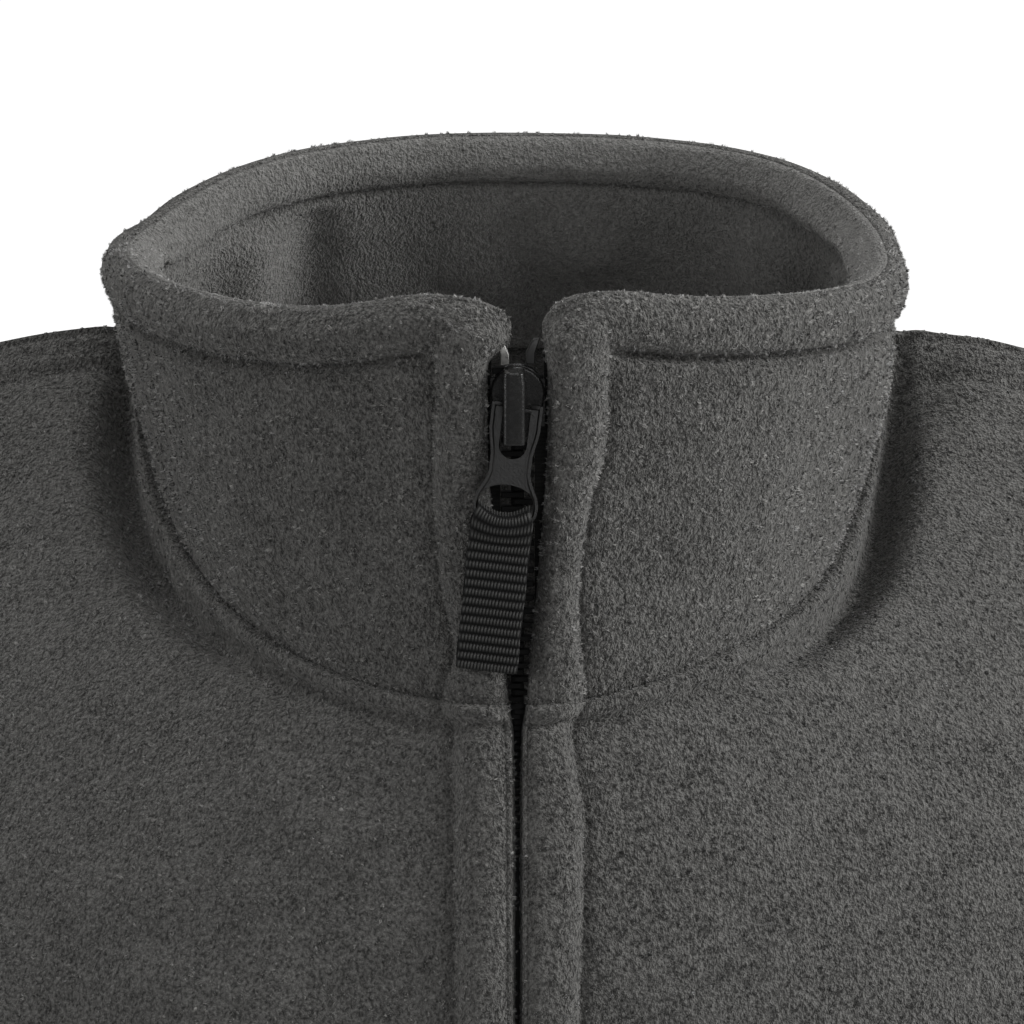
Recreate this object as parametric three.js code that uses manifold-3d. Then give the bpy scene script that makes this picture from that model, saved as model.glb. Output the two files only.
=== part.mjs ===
// Fleece vest with a stand-up zip collar, held open as if worn, with nobody in it.
// Millimetres. +Z is up, the front faces -Y, and +X is the wearer's left.
// The origin is the middle of the neck ring, level with the tops of the shoulder seams.
import * as THREE from 'three';
import Module from 'manifold-3d';

const wasm = await Module();
wasm.setup();

const RAD = Math.PI / 180;
const BACK_CENTRE = Math.PI;

// Cloth and seams
const FLEECE = 2.6; // one layer of brushed fleece
const LINE = 0.6; // from the pattern surface to the inner face of the cloth
const SEAM_SHIFT = 0.25; // each side of a seam stands this far off it
const STRIP_LIFT = 0.9; // seam allowance, stitched down under the neck seam
const HEM_LIFT = 1.0; // second layer of a turned edge, pressed flat
const HEM_DEEP = 0.19; // turned hem, in levels
const BINDING_WIDE = 11; // turned armhole edge

// Collar
const ROLL_DEEP = 10.4; // from the rim down to its row of stitching
const COLLAR_SWELL = 1.7; // soft outward belly of the collar wall

// Front zip
const FOLD_CREST = 6.4; // thickest point of the fold along each front edge
const CHAIN_HALF = 2.8;
const CHAIN_HIGH = 1.2;
const TAPE_HALF = 0.3; // half the tape's thickness
const TAPE_OUTER = 16; // tape's far edge, from the centre line
const FACING_EDGE = 5.4; // facing's front edge, from the centre line

// Slider, pull and webbing, in collar coordinates: u across, v up the wall, n out of it
const SLIDER_TOP = 62;
const SLIDER_BOTTOM = 48.5;
const SLIDER_HALF = 4.9;
const PIVOT_V = 54.5;
const PIVOT_N = 5.0;
const PULL_LEAN = 4 * RAD;
const PULL_TILT = 10.5 * RAD;
const WEBBING_LEAN = 2.2 * RAD; // beyond the tab's own lean
const PULL_THICK = 1.5;
const WEBBING_HALF = 5.2;
const WEBBING_END = -46.5;

// A short table becomes a list of rows with named columns.
function table(columns, ...rows) {
  const names = columns.split(' ');
  return rows.map((row) => Object.fromEntries(names.map((name, i) => [name, row[i]])));
}

// Levels of the garment, each a closed ring, from the neck seam (0) to the hem (11).
// Level 4 passes through the shoulder points and level 7 through the underarms.
const LEVELS = table(
  'side sideY sideZ frontY frontZ backY backZ frontBend backBend square',
  [72.2, 42, 0, -78, -39, 92, -14, 0.62, 0.9, 2.05],
  [104, 41, -6, -92, -68, 107, -39, 0.75, 1.0, 2.1],
  [140, 35, -17, -105, -105, 117, -73, 0.95, 1.1, 2.2],
  [174, 29, -31, -113, -140, 122, -109, 1.15, 1.2, 2.3],
  [205, 22, -47, -120, -176, 125, -145, 1.3, 1.3, 2.4],
  [222, 16, -98, -127, -213, 126, -182, 1.2, 1.2, 2.5],
  [224, 10, -168, -132, -243, 125, -220, 1.1, 1.1, 2.5],
  [213, 6, -240, -134, -270, 122, -254, 1.0, 1.0, 2.45],
  [207, 4, -330, -131, -342, 118, -335, 1.0, 1.0, 2.4],
  [202, 2, -440, -126, -446, 115, -441, 1.0, 1.0, 2.35],
  [203, 0, -560, -124, -562, 117, -560, 1.0, 1.0, 2.35],
  [205, 0, -668, -123, -668, 119, -668, 1.0, 1.0, 2.35],
);
const COLUMN_NAMES = Object.keys(LEVELS[0]);

// The collar's rim, in the same terms.
const RIM = {
  side: 69.9, sideY: 0, sideZ: 26, frontY: -70, frontZ: 34, backY: 70, backZ: 33,
  frontBend: 2, backBend: 2, square: 2.1,
};

// Large soft folds. Each runs from (x1, z1) to (x2, z2), on the front (1) or the back (-1).
const FOLDS = table(
  'face x1 z1 x2 z2 wide high',
  [1, -176, -176, -92, -236, 16, 7.5],
  [1, -182, -218, -84, -296, 19, -6.0],
  [1, 174, -172, 100, -230, 15, 6.6],
  [1, 186, -222, 88, -322, 20, -6.4],
  [1, -96, -76, -66, -152, 15, -2.4],
  [1, 106, -70, 68, -164, 16, -2.8],
  [1, -128, -322, -110, -570, 25, 8.0],
  [1, -70, -410, -76, -655, 21, -6.0],
  [1, 118, -350, 134, -610, 24, 7.6],
  [1, 64, -460, 58, -662, 19, -5.2],
  [1, -168, -470, -176, -660, 22, -5.6],
  [1, 188, -292, 116, -356, 14, 5.6],
  [1, -192, -280, -114, -352, 15, 5.2],
  [-1, -160, -150, -60, -198, 19, -5.6],
  [-1, 166, -158, 50, -188, 18, -5.2],
  [-1, -180, -224, -80, -332, 19, 7.0],
  [-1, 184, -234, 86, -322, 20, 6.4],
  [-1, -58, -290, -64, -610, 27, -7.0],
  [-1, 42, -320, 52, -645, 25, 6.6],
  [-1, 128, -380, 142, -652, 23, -6.6],
  [-1, -136, -390, -148, -645, 21, 6.6],
  [-1, 0, -70, 4, -190, 26, -3.0],
);

// Heights up the collar front, with the half gap between the zip folds and each fold's width.
// A negative height lies below the neck seam.
const ZIP_EDGES = table(
  'v gap leftWidth rightWidth',
  [-620, 0.4, 10.6, 10.6],
  [-240, 0.4, 10.3, 10.9],
  [-70, 0.4, 10.4, 10.6],
  [-24, 0.4, 10.7, 11.2],
  [-9, 0.6, 10.6, 9.4],
  [0, 1.5, 11.2, 10.9],
  [10, 2.3, 8.4, 9.6],
  [22, 3.4, 9.8, 8.8],
  [36, 4.6, 9.7, 8.8],
  [46, 5.25, 9.2, 10.4],
  [60, 5.3, 8.9, 11.8],
  [67, 4.9, 9.6, 12.2],
  [76, 4.3, 10.6, 12.4],
);

// Fold thickness outside the inner face, across its width.
const FOLD_SECTION = table(
  'q thick',
  [0, 3.0], [0.075, 4.9], [0.23, 6.0], [0.5, FOLD_CREST], [0.75, 5.8], [0.92, 4.2], [1, 2.3],
  [1.15, 2.7], [1.5, FLEECE],
);

// Rim roll outside the collar's pattern surface. Down is measured from the rim.
const ROLL_OUT = table(
  'down out',
  [-0.5, 1.5], [1.4, 3.9], [4, 5.0], [6.6, 4.9], [9, 3.7], [10.4, 2.5], [11.7, 3.0], [14, 3.2],
);
const ROLL_IN = table(
  'down out',
  [-0.7, 1.0], [-0.2, -1.2], [1.4, -3.2], [3.8, -4.4], [6, -4.2], [8.2, -3.4], [9.5, -2.6],
  [10.9, -3.2], [14, -3.2],
);

// ---- small maths ----
const clamp = (value, low, high) => Math.min(high, Math.max(low, value));
const mix = (a, b, t) => a + (b - a) * t;
const bell = (x) => Math.exp(-x * x);

function smooth(low, high, value) {
  const t = clamp((value - low) / (high - low), 0, 1);
  return t * t * (3 - 2 * t);
}

// Reads one column of a table against another, in straight steps.
function lookUp(rows, key, column, value) {
  if (value <= rows[0][key]) return rows[0][column];
  for (let i = 1; i < rows.length; i += 1) {
    const [low, high] = [rows[i - 1], rows[i]];
    if (value <= high[key]) {
      return mix(low[column], high[column], (value - low[key]) / (high[key] - low[key]));
    }
  }
  return rows[rows.length - 1][column];
}

// A ring between the tabled levels, by a smooth curve through each column.
function levelAt(r) {
  const last = LEVELS.length - 1;
  const i = clamp(Math.floor(r), 0, last - 1);
  const t = r - i;
  const ring = {};
  for (const name of COLUMN_NAMES) {
    const [a, b, c, d] = [i - 1, i, i + 1, i + 2].map((k) => LEVELS[clamp(k, 0, last)][name]);
    const cubic = (3 * b - a - 3 * c + d) * t;
    ring[name] = 0.5 * (2 * b + t * (c - a + t * (2 * a - 5 * b + 4 * c - d + cubic)));
  }
  return ring;
}

// The point of a ring at an angle from centre front.
function ringPoint(ring, angle) {
  const [c, s] = [Math.cos(angle), Math.sin(angle)];
  const front = c > 0;
  const power = 2 / (front ? ring.square : ring.backSquare ?? ring.square);
  const reachY = Math.abs(c) ** power;
  const reachZ = Math.abs(c) ** (front ? ring.frontBend : ring.backBend);
  return new THREE.Vector3(
    ring.side * Math.sign(s) * Math.abs(s) ** power,
    mix(ring.sideY, front ? ring.frontY : ring.backY, reachY),
    mix(ring.sideZ, front ? ring.frontZ : ring.backZ, reachZ),
  );
}

// The angle at which a ring is x from the centre line, on the front.
const angleAt = (ring, x) => Math.asin((x / ring.side) ** (ring.square / 2));

// ---- body surface ----
const turnOf = (angle) => Math.atan2(Math.sin(angle), Math.cos(angle)) / RAD;

// The neck seam is pulled up a little on the left front by the zip.
function bodyPlain(angle, r) {
  const point = ringPoint(levelAt(r), angle);
  point.z += 1.8 * bell((turnOf(angle) - 29) / 17) * smooth(1.2, 0, r);
  return point;
}

function normalFrom(surface, a, b, stepA, stepB, outward) {
  const across = surface(a + stepA, b).sub(surface(a - stepA, b));
  const along = surface(a, b + stepB).sub(surface(a, b - stepB));
  const normal = across.cross(along).normalize();
  return normal.dot(outward) < 0 ? normal.negate() : normal;
}

function bodyNormal(angle, r) {
  const level = clamp(r, 0.012, 10.99);
  const outward = new THREE.Vector3(Math.sin(angle), -Math.cos(angle), level < 5 ? 1.2 : 0);
  const reach = mix(0.2, 0.05, smooth(1, 3.5, level));
  return normalFrom(bodyPlain, angle, level, reach, 0.01, outward);
}

const neckGap = (r) => r * 31; // distance below the neck seam, near it

function foldHeight(point, front) {
  let sum = 0;
  for (const fold of FOLDS) {
    if (fold.face === front) {
      const [dx, dz] = [fold.x2 - fold.x1, fold.z2 - fold.z1];
      const length = Math.hypot(dx, dz);
      const along = ((point.x - fold.x1) * dx + (point.z - fold.z1) * dz) / length;
      const off = ((point.x - fold.x1) * dz - (point.z - fold.z1) * dx) / length;
      const ends = smooth(-0.25, 0.3, along / length) * smooth(1.25, 0.7, along / length);
      sum += fold.high * ends * bell(off / fold.wide);
    }
  }
  return sum;
}

// Height of the cloth above the plain rings: the trough round the collar, the
// soft shoulders beyond it and the large folds.
function relief(angle, r) {
  const below = neckGap(r);
  const turn = Math.acos(Math.cos(angle)) / RAD;
  const flank = bell((turn - 58) / 22) + 0.45 * bell((turn - 128) / 26);
  const centre = 7 + 4.5 * flank;
  const width = 4 + 3.5 * flank;
  const trough = -(0.8 + 4.4 * flank) * bell((below - centre) / width);
  const puff = (0.5 + 2.2 * flank) * smooth(6, 26, below) * smooth(3.4, 1.1, r);
  const fold = foldHeight(bodyPlain(angle, r), Math.cos(angle) > 0 ? 1 : -1);
  return trough + puff + fold * smooth(0.03, 0.14, Math.abs(Math.sin(angle)));
}

// ---- collar surface ----
const collarTurn = (angle) => angle + 10 * RAD * Math.sin(angle);

// The rim is flattened behind the right shoulder, where the collar leans outwards.
function rimPoint(angle) {
  const turn = turnOf(angle);
  const backSquare = turn < 0 ? mix(2.32, 2.5, smooth(-150, -180, turn)) : 2.5;
  const point = ringPoint({ ...RIM, backSquare }, collarTurn(angle));
  point.x -= 5.4 * bell((turn + 94) / 30) + 1.2 * bell((turn - 92) / 24);
  point.z += 2.6 * bell((turn + 62) / 20) - 3.8 * bell((turn + 104) / 14);
  point.z += 1.5 * bell((turn + 140) / 22) + 1.3 * bell((turn - 126) / 26);
  point.z += 1.2 * bell((point.x - 18) / 9) * (point.y < 0 ? 1 : 0);
  return point;
}

const collarHeight = (angle) => rimPoint(angle).distanceTo(bodyPlain(angle, 0));

// A point on the collar's pattern surface, v up from the neck seam.
function collarPlain(angle, v) {
  const share = v / collarHeight(angle);
  const point = bodyPlain(angle, 0).lerp(rimPoint(angle), share);
  const belly = COLLAR_SWELL * Math.sin(Math.PI * clamp(share, 0, 1));
  const away = new THREE.Vector3(Math.sin(angle), -Math.cos(angle), 0);
  return point.addScaledVector(away, belly * Math.sin(angle) ** 2);
}

function collarNormal(angle, v) {
  const outward = new THREE.Vector3(Math.sin(angle), -Math.cos(angle), 0);
  return normalFrom(collarPlain, angle, v, 0.02, 0.5, outward);
}

// Where body and collar meet, both are offset along one shared mitre.
function mitre(angle) {
  const body = bodyNormal(angle, 0.012);
  const collar = collarNormal(angle, 1);
  return body.clone().add(collar).divideScalar(1 + body.dot(collar));
}

function bodyPoint(angle, r, out) {
  const normal = bodyNormal(angle, r);
  const share = smooth(0, 0.3, r);
  const direction = mitre(angle).lerp(normal, share);
  const base = bodyPlain(angle, r).addScaledVector(normal, relief(angle, r) * smooth(0, 0.1, r));
  return base.addScaledVector(direction, out);
}

function collarPoint(angle, v, out) {
  const normal = collarNormal(angle, v);
  const share = smooth(0, 9, v);
  const direction = out > 0 ? mitre(angle).lerp(normal, share) : normal;
  return collarPlain(angle, v).addScaledVector(direction, out);
}

// Angle of a collar point x from the centre line.
function collarAngleAt(v, x) {
  let angle = x / 75;
  for (let i = 0; i < 6; i += 1) {
    const slope = (collarPlain(angle + 0.01, v).x - collarPlain(angle - 0.01, v).x) / 0.02;
    angle += (x - collarPlain(angle, v).x) / slope;
  }
  return Math.max(angle, 0.0005);
}

// ---- closed meshes ----
function meshOf(name, geometry, colour, roughness, metalness) {
  const material = new THREE.MeshStandardMaterial({ color: colour, roughness, metalness });
  const mesh = new THREE.Mesh(geometry, material);
  mesh.name = name;
  return mesh;
}

function faceted(points, faces) {
  const geometry = new THREE.BufferGeometry();
  geometry.setFromPoints(points);
  geometry.setIndex(faces);
  if (signedVolume(points, faces) < 0) {
    for (let i = 0; i < faces.length; i += 3) {
      [faces[i + 1], faces[i + 2]] = [faces[i + 2], faces[i + 1]];
    }
    geometry.setIndex(faces);
  }
  geometry.computeVertexNormals();
  return geometry;
}

function signedVolume(points, faces) {
  let sum = 0;
  for (let i = 0; i < faces.length; i += 3) {
    const [a, b, c] = [points[faces[i]], points[faces[i + 1]], points[faces[i + 2]]];
    sum += a.dot(b.clone().cross(c));
  }
  return sum;
}

// A sheet with thickness, from two grids of points of the same size.
function shell(outer, inner) {
  const rows = outer.length;
  const columns = outer[0].length;
  const points = [...outer.flat(), ...inner.flat()];
  const far = rows * columns;
  const faces = [];
  const quad = (a, b, c, d) => faces.push(a, b, c, a, c, d);
  for (let i = 0; i < rows - 1; i += 1) {
    for (let j = 0; j < columns - 1; j += 1) {
      const k = i * columns + j;
      quad(k, k + 1, k + columns + 1, k + columns);
      quad(far + k, far + k + columns, far + k + columns + 1, far + k + 1);
    }
  }
  for (let i = 0; i < rows - 1; i += 1) {
    const first = i * columns;
    const last = first + columns - 1;
    quad(first, first + columns, far + first + columns, far + first);
    quad(last + columns, last, far + last, far + last + columns);
  }
  for (let j = 0; j < columns - 1; j += 1) {
    const low = (rows - 1) * columns + j;
    quad(j + 1, j, far + j, far + j + 1);
    quad(low, low + 1, far + low + 1, far + low);
  }
  return faceted(points, faces);
}

// ---- zip edge ----
const zipHalf = (v) => lookUp(ZIP_EDGES, 'v', 'gap', v);
const foldWidth = (v, side) => lookUp(ZIP_EDGES, 'v', side > 0 ? 'rightWidth' : 'leftWidth', v);
const foldThick = (q) => lookUp(FOLD_SECTION, 'q', 'thick', q);

// The folds stand clear of the zip chain close to the centre line.
const innerFace = (x) => LINE + 1.1 * smooth(4.9, 3.5, x);

const FOLD_COLUMNS = FOLD_SECTION.map((row) => row.q);

// ---- front panels ----
const BODY_ROWS = [
  0.008, 0.035, 0.09, 0.15, 0.2, 0.26, 0.36, 0.5, 0.7, 1, 1.4, 1.85, 2.35, 2.9, 3.45, 4,
  4.07, 4.22, 4.5, 4.95, 5.5, 6, 6.45, 6.78, 6.94, 7, 7.4, 8, 8.6, 9.25, 9.9, 10.45, 10.8, 10.84, 11,
];
const FRONT_COLUMNS = [0.09, 0.2, 0.31, 0.42, 0.53, 0.64, 0.74, 0.83, 0.905, 0.945, 1];
const BACK_COLUMNS = [0, 0.035, 0.08, 0.16, 0.26, 0.36, 0.46, 0.55, 0.64, 0.73, 0.82, 0.91, 1];

// Half of the armhole's opening at a level, in degrees away from the side.
function armhole(r, reach) {
  const share = (r - 5.5) / 1.5;
  return Math.abs(share) >= 1 ? 0 : reach * Math.sqrt(1 - share * share);
}

const underNeck = (r) => (r < 0.9 ? -neckGap(r) : -28 - (r - 0.9) * 58);

// The side seam, shoulder seam and armhole edge of a panel. Way is -1 to the front, 1 to the back.
function sideAngle(r, way) {
  const edge = 90 * RAD + way * armhole(r, way < 0 ? 27 : 24) * RAD;
  if (r > 4 && r < 7) return edge + way * 0.0004;
  const seam = bodyPlain(edge, r);
  let angle = edge;
  while (bodyPlain(angle, r).distanceTo(seam) < SEAM_SHIFT * 0.8) angle += way * 0.0003;
  return angle;
}

// Thickness added along stitched edges.
function edgeLift(r, fromEdge) {
  const strip = STRIP_LIFT * smooth(0.4, 1.6, neckGap(r)) * smooth(6.4, 4.4, neckGap(r));
  const hem = r > 11 - HEM_DEEP ? HEM_LIFT : 0;
  const arm = r >= 4 && r <= 7 && fromEdge < BINDING_WIDE ? HEM_LIFT : 0;
  const dip = r < 4 || r > 7 ? -0.9 * bell(fromEdge / 1.6) : 0;
  return strip + Math.max(hem, arm) + dip;
}

function frontPanel(side) {
  const outer = [];
  const inner = [];
  for (const r of BODY_ROWS) {
    const ring = levelAt(r);
    const half = zipHalf(underNeck(r));
    const width = foldWidth(underNeck(r), side);
    const edge = sideAngle(r, -1);
    const start = angleAt(ring, half + 1.5 * width);
    const angles = FOLD_COLUMNS.map((q) => angleAt(ring, half + q * width));
    for (const share of FRONT_COLUMNS) {
      const ease = mix(1 - (1 - share) ** 1.5, share, smooth(0.5, 4, r));
      angles.push(mix(start, edge, ease));
    }
    const outerRow = [];
    const innerRow = [];
    angles.forEach((angle, i) => {
      const q = i < FOLD_COLUMNS.length ? FOLD_COLUMNS[i] : 9;
      const x = bodyPlain(angle, r).x;
      const fromEdge = (edge - angle) * 150;
      const face = innerFace(x);
      const thick = foldThick(q) - (face - LINE) + edgeLift(r, fromEdge);
      outerRow.push(bodyPoint(side * angle, r, face + thick));
      innerRow.push(bodyPoint(side * angle, r, face));
    });
    outer.push(outerRow);
    inner.push(innerRow);
  }
  return shell(outer, inner);
}

function backPanel() {
  const outer = [];
  const inner = [];
  for (const r of BODY_ROWS) {
    const edge = sideAngle(r, 1);
    const ease = (share) => mix(share ** 1.25, share, smooth(0.5, 4, r));
    const half = BACK_COLUMNS.map((share) => mix(edge, BACK_CENTRE, ease(share)));
    const angles = [...half, ...half.slice(0, -1).reverse().map((a) => 2 * Math.PI - a)];
    const lifts = angles.map((a) => edgeLift(r, (BACK_CENTRE - Math.abs(a - BACK_CENTRE) - edge) * 150));
    outer.push(angles.map((a, i) => bodyPoint(a, r, LINE + FLEECE + lifts[i])));
    inner.push(angles.map((a) => bodyPoint(a, r, LINE)));
  }
  return shell(outer, inner);
}

// ---- collar ----
// How far the rim drops at its rounded corners beside the zip.
const cornerDrop = (q) => 4.4 * (1 - Math.sqrt(1 - clamp(1 - q / 0.5, 0, 1) ** 2));

const COLLAR_COLUMNS = [0.05, 0.11, 0.18, 0.25, 0.32, 0.39, 0.46, 0.53, 0.6, 0.68, 0.76, 0.84, 0.92];

function collarRows(height) {
  const wall = height - 14;
  const low = [SEAM_SHIFT * 1.6, 2.5, wall * 0.2, wall * 0.45, wall * 0.72, height - 14];
  return [...low, ...ROLL_OUT.slice(0, -1).reverse().map((row) => height - row.down)];
}

// Outer face of the collar: cloth, zip fold near the front edge, and the roll at the rim.
function collarOut(q, v, height) {
  const seam = -0.7 * bell(v / 1.4);
  const wall = lookUp(ROLL_OUT, 'down', 'out', height - v) + seam;
  const round = smooth(height + 1, height - 5, v);
  const fold = LINE + foldThick(q) * mix(0.35, 1, round) + seam;
  const edge = mix(wall, fold, smooth(1.35, 0.95, q));
  return mix(edge, Math.max(edge, wall), smooth(16, 11, height - v) * smooth(0.1, 0.6, q));
}

function collarShell() {
  const outer = [];
  const inner = [];
  const column = (side, q, share) => {
    const middle = 0.35 + 2.6 * share;
    const height = collarHeight(share ? middle : 0.2);
    const outerColumn = [];
    const innerColumn = [];
    for (const row of collarRows(height)) {
      const x = zipHalf(row) + Math.min(q, 1.5) * foldWidth(row, side);
      const start = collarAngleAt(row, x);
      const angle = share ? mix(start, BACK_CENTRE, share) : start;
      const tall = collarHeight(angle);
      const lift = row < 1 ? 0.4 * bell((angle / RAD - 99) / 18) : 0;
      const scale = (tall - 14) / (height - 14);
      const v = row > height - 14.5 ? tall - (height - row) : row * scale + lift;
      const drop = cornerDrop(q) * smooth(tall - 15, tall, v);
      const face = innerFace(share ? 9 : x);
      outerColumn.push(collarPoint(side * angle, v - drop, collarOut(q, v, tall)));
      innerColumn.push(collarPoint(side * angle, Math.min(v, tall - 1.2) - drop, face));
    }
    return [outerColumn, innerColumn];
  };
  const keys = [...FOLD_COLUMNS.map((q) => [q, 0]), ...COLLAR_COLUMNS.map((share) => [9, share])];
  const left = keys.map(([q, share]) => column(-1, q, share));
  const right = keys.map(([q, share]) => column(1, q, share));
  const back = column(1, 9, 1);
  for (const [a, b] of [...left, back, ...right.reverse()]) {
    outer.push(a);
    inner.push(b);
  }
  return shell(outer, inner);
}

// Inner layer of the collar, up to the seam along the rim.
function facingShell() {
  const outer = [];
  const inner = [];
  const column = (side, share) => {
    const fold = share < 0.02 ? 0.55 : 1;
    const near = collarHeight(0.2);
    const outerColumn = [];
    const innerColumn = [];
    const rows = ROLL_IN.slice(0, -1).reverse();
    const start = collarAngleAt(near * 0.5, FACING_EDGE);
    const angle = mix(start, BACK_CENTRE, share);
    const tall = collarHeight(angle);
    const fat = 1 + 0.5 * bell((Math.abs(turnOf(side * angle)) - 96) / 34);
    const corner = cornerDrop(angle < 1 ? (collarPlain(angle, tall).x - 4.4) / 10 : 1);
    const low = [0.5, 0.12, 0.35, 0.65, 1].map((part, i) => (i ? part * (tall - 14) : part));
    for (const v of [...low, ...rows.map((row) => tall - row.down)]) {
      const down = tall - v;
      const swell = mix(1, fat, smooth(9.5, 5, down) * smooth(-0.2, 1.4, down));
      const out = lookUp(ROLL_IN, 'down', 'out', down) * swell;
      const drop = corner * smooth(tall - 15, tall, v);
      const back = down > 1.3 ? -LINE : mix(0.45, -LINE, smooth(-0.7, 1.3, down));
      const inward = Math.min(out * (down < 0 ? 1 : mix(1, fold, smooth(4, 0, down))), back - 0.5);
      outerColumn.push(collarPoint(side * angle, Math.min(v, tall - 0.1) - drop, back));
      innerColumn.push(collarPoint(side * angle, v - drop, inward));
    }
    return [outerColumn, innerColumn];
  };
  const shares = [0, 0.018, 0.045, 0.1, 0.16, 0.22, 0.29, 0.36, 0.43, 0.5, 0.58, 0.66, 0.74, 0.83, 0.92];
  const left = shares.map((share) => column(-1, share));
  const right = shares.map((share) => column(1, share));
  for (const [a, b] of [...left, column(1, 1), ...right.reverse()]) {
    outer.push(a);
    inner.push(b);
  }
  return shell(outer, inner);
}

// ---- zip tape and chain ----
// Stations down the zip: heights up the collar first, then levels of the body.
const COLLAR_STATIONS = [66, 60, 56, 51, 44, 36, 28, 20, 12, 6, 2];
const BODY_STATIONS = BODY_ROWS.filter((r) => r > 0.03 && r < 10.99).concat(10.97);
const tapeEdge = (v) => CHAIN_HALF + 0.3 + 1.6 * smooth(50, 58, v);

function zipTape(side) {
  const outer = [];
  const inner = [];
  const shares = [0, 0.15, 0.35, 0.65, 1];
  const onCollar = (angle, v, out) => {
    return collarPlain(angle, v).addScaledVector(collarNormal(angle, v), out);
  };
  for (const v of COLLAR_STATIONS) {
    const angles = shares.map((t) => collarAngleAt(v, mix(tapeEdge(v), TAPE_OUTER, t)));
    outer.push(angles.map((a) => onCollar(side * a, v, TAPE_HALF)));
    inner.push(angles.map((a) => onCollar(side * a, v, -TAPE_HALF)));
  }
  for (const r of BODY_STATIONS) {
    const ring = levelAt(r);
    const angles = shares.map((t) => angleAt(ring, mix(tapeEdge(0), TAPE_OUTER, t)));
    outer.push(angles.map((a) => bodyPoint(side * a, r, TAPE_HALF)));
    inner.push(angles.map((a) => bodyPoint(side * a, r, -TAPE_HALF)));
  }
  return shell(outer, inner);
}

function zipChain() {
  const outer = [];
  const inner = [];
  const ends = [-CHAIN_HALF, CHAIN_HALF];
  const pair = (point, normal, out) => {
    return ends.map((x) => point.clone().addScaledVector(normal, out).setX(x));
  };
  for (const v of COLLAR_STATIONS.filter((height) => height < 52)) {
    outer.push(pair(collarPlain(0, v), collarNormal(0, v), CHAIN_HIGH));
    inner.push(pair(collarPlain(0, v), collarNormal(0, v), -CHAIN_HIGH));
  }
  for (const r of BODY_STATIONS.filter((level) => level < 10.86)) {
    const point = bodyPlain(0, r).addScaledVector(bodyNormal(0, r), relief(0, r));
    outer.push(pair(point, bodyNormal(0, r), CHAIN_HIGH));
    inner.push(pair(point, bodyNormal(0, r), -CHAIN_HIGH));
  }
  return shell(outer, inner);
}

// ---- hardware, built flat in collar coordinates and then stood on the collar front ----
const ZIP_FRAME = (() => {
  const foot = bodyPlain(0, 0);
  const up = rimPoint(0).sub(foot).normalize();
  const across = new THREE.Vector3(1, 0, 0);
  const out = across.clone().cross(up).normalize();
  return new THREE.Matrix4().makeBasis(across, up, out).setPosition(foot);
})();

function prism(outline, low, high, holes = []) {
  const shape = new THREE.Shape(outline.map(([x, y]) => new THREE.Vector2(x, y)));
  for (const hole of holes) {
    shape.holes.push(new THREE.Path(hole.map(([x, y]) => new THREE.Vector2(x, y))));
  }
  const geometry = new THREE.ExtrudeGeometry(shape, { depth: high - low, bevelEnabled: false });
  return geometry.translate(0, 0, low);
}

const mirrored = (half) => [...half, ...half.slice().reverse().map(([x, y]) => [-x, y])];

function solidOf(geometry) {
  const place = geometry.getAttribute('position');
  const index = geometry.index;
  const count = index ? index.count : place.count;
  const keys = new Map();
  const vertices = [];
  const corners = [];
  for (let i = 0; i < count; i += 1) {
    const k = index ? index.getX(i) : i;
    const at = [place.getX(k), place.getY(k), place.getZ(k)];
    const key = at.map((value) => Math.round(value * 1e4)).join(' ');
    if (!keys.has(key)) {
      keys.set(key, vertices.length / 3);
      vertices.push(...at);
    }
    corners.push(keys.get(key));
  }
  const vertProperties = new Float32Array(vertices);
  const triVerts = new Uint32Array(corners);
  return new wasm.Manifold(new wasm.Mesh({ numProp: 3, vertProperties, triVerts }));
}

function geometryOf(solid) {
  const mesh = solid.getMesh();
  const geometry = new THREE.BufferGeometry();
  geometry.setAttribute('position', new THREE.BufferAttribute(mesh.vertProperties, 3));
  geometry.setIndex(new THREE.BufferAttribute(mesh.triVerts, 1));
  geometry.computeVertexNormals();
  return geometry;
}

function joined(pieces) {
  return geometryOf(pieces.map(solidOf).reduce((sum, piece) => sum.add(piece)));
}

const PLATE = mirrored([
  [0.7, SLIDER_TOP - 1.0], [1.6, SLIDER_TOP], [3.2, SLIDER_TOP], [4.5, SLIDER_TOP - 1.1],
  [SLIDER_HALF, SLIDER_TOP - 3], [SLIDER_HALF, 54], [4.3, 50.5], [3.9, SLIDER_BOTTOM],
]);

function zipSlider() {
  const flange = [[4.1, 50.8], [4.35, 50.8], [4.85, 54], [4.85, 60], [4.1, 60]];
  const pieces = [prism(PLATE, 1.5, 2.9), prism(PLATE, -2.9, -1.5)];
  for (const side of [-1, 1]) {
    const outline = flange.map(([x, y]) => [side * x, y]);
    if (side < 0) outline.reverse();
    pieces.push(prism(outline, 0.75, 1.7), prism(outline, -1.7, -0.75));
  }
  pieces.push(prism(mirrored([[0.5, 60.4], [1.3, 59.4], [0.7, 55.6]]), -1.7, 1.7));
  const arch = [
    [60.2, 2.7], [60, 6.2], [59.2, 7.8], [57.6, 8.4], [50.6, 8.4], [49, 7.8], [48.6, 6.2], [48.7, 2.7],
    [50.1, 2.7], [50.2, 5.9], [51, 6.8], [57.4, 6.8], [58.3, 5.9], [58.6, 2.7],
  ];
  const bridge = prism(arch, -1.6, 1.6);
  bridge.applyMatrix4(new THREE.Matrix4().set(0, 0, 1, 0, 1, 0, 0, 0, 0, 1, 0, 0, 0, 0, 0, 1));
  pieces.push(bridge);
  return joined(pieces).applyMatrix4(ZIP_FRAME);
}

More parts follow.
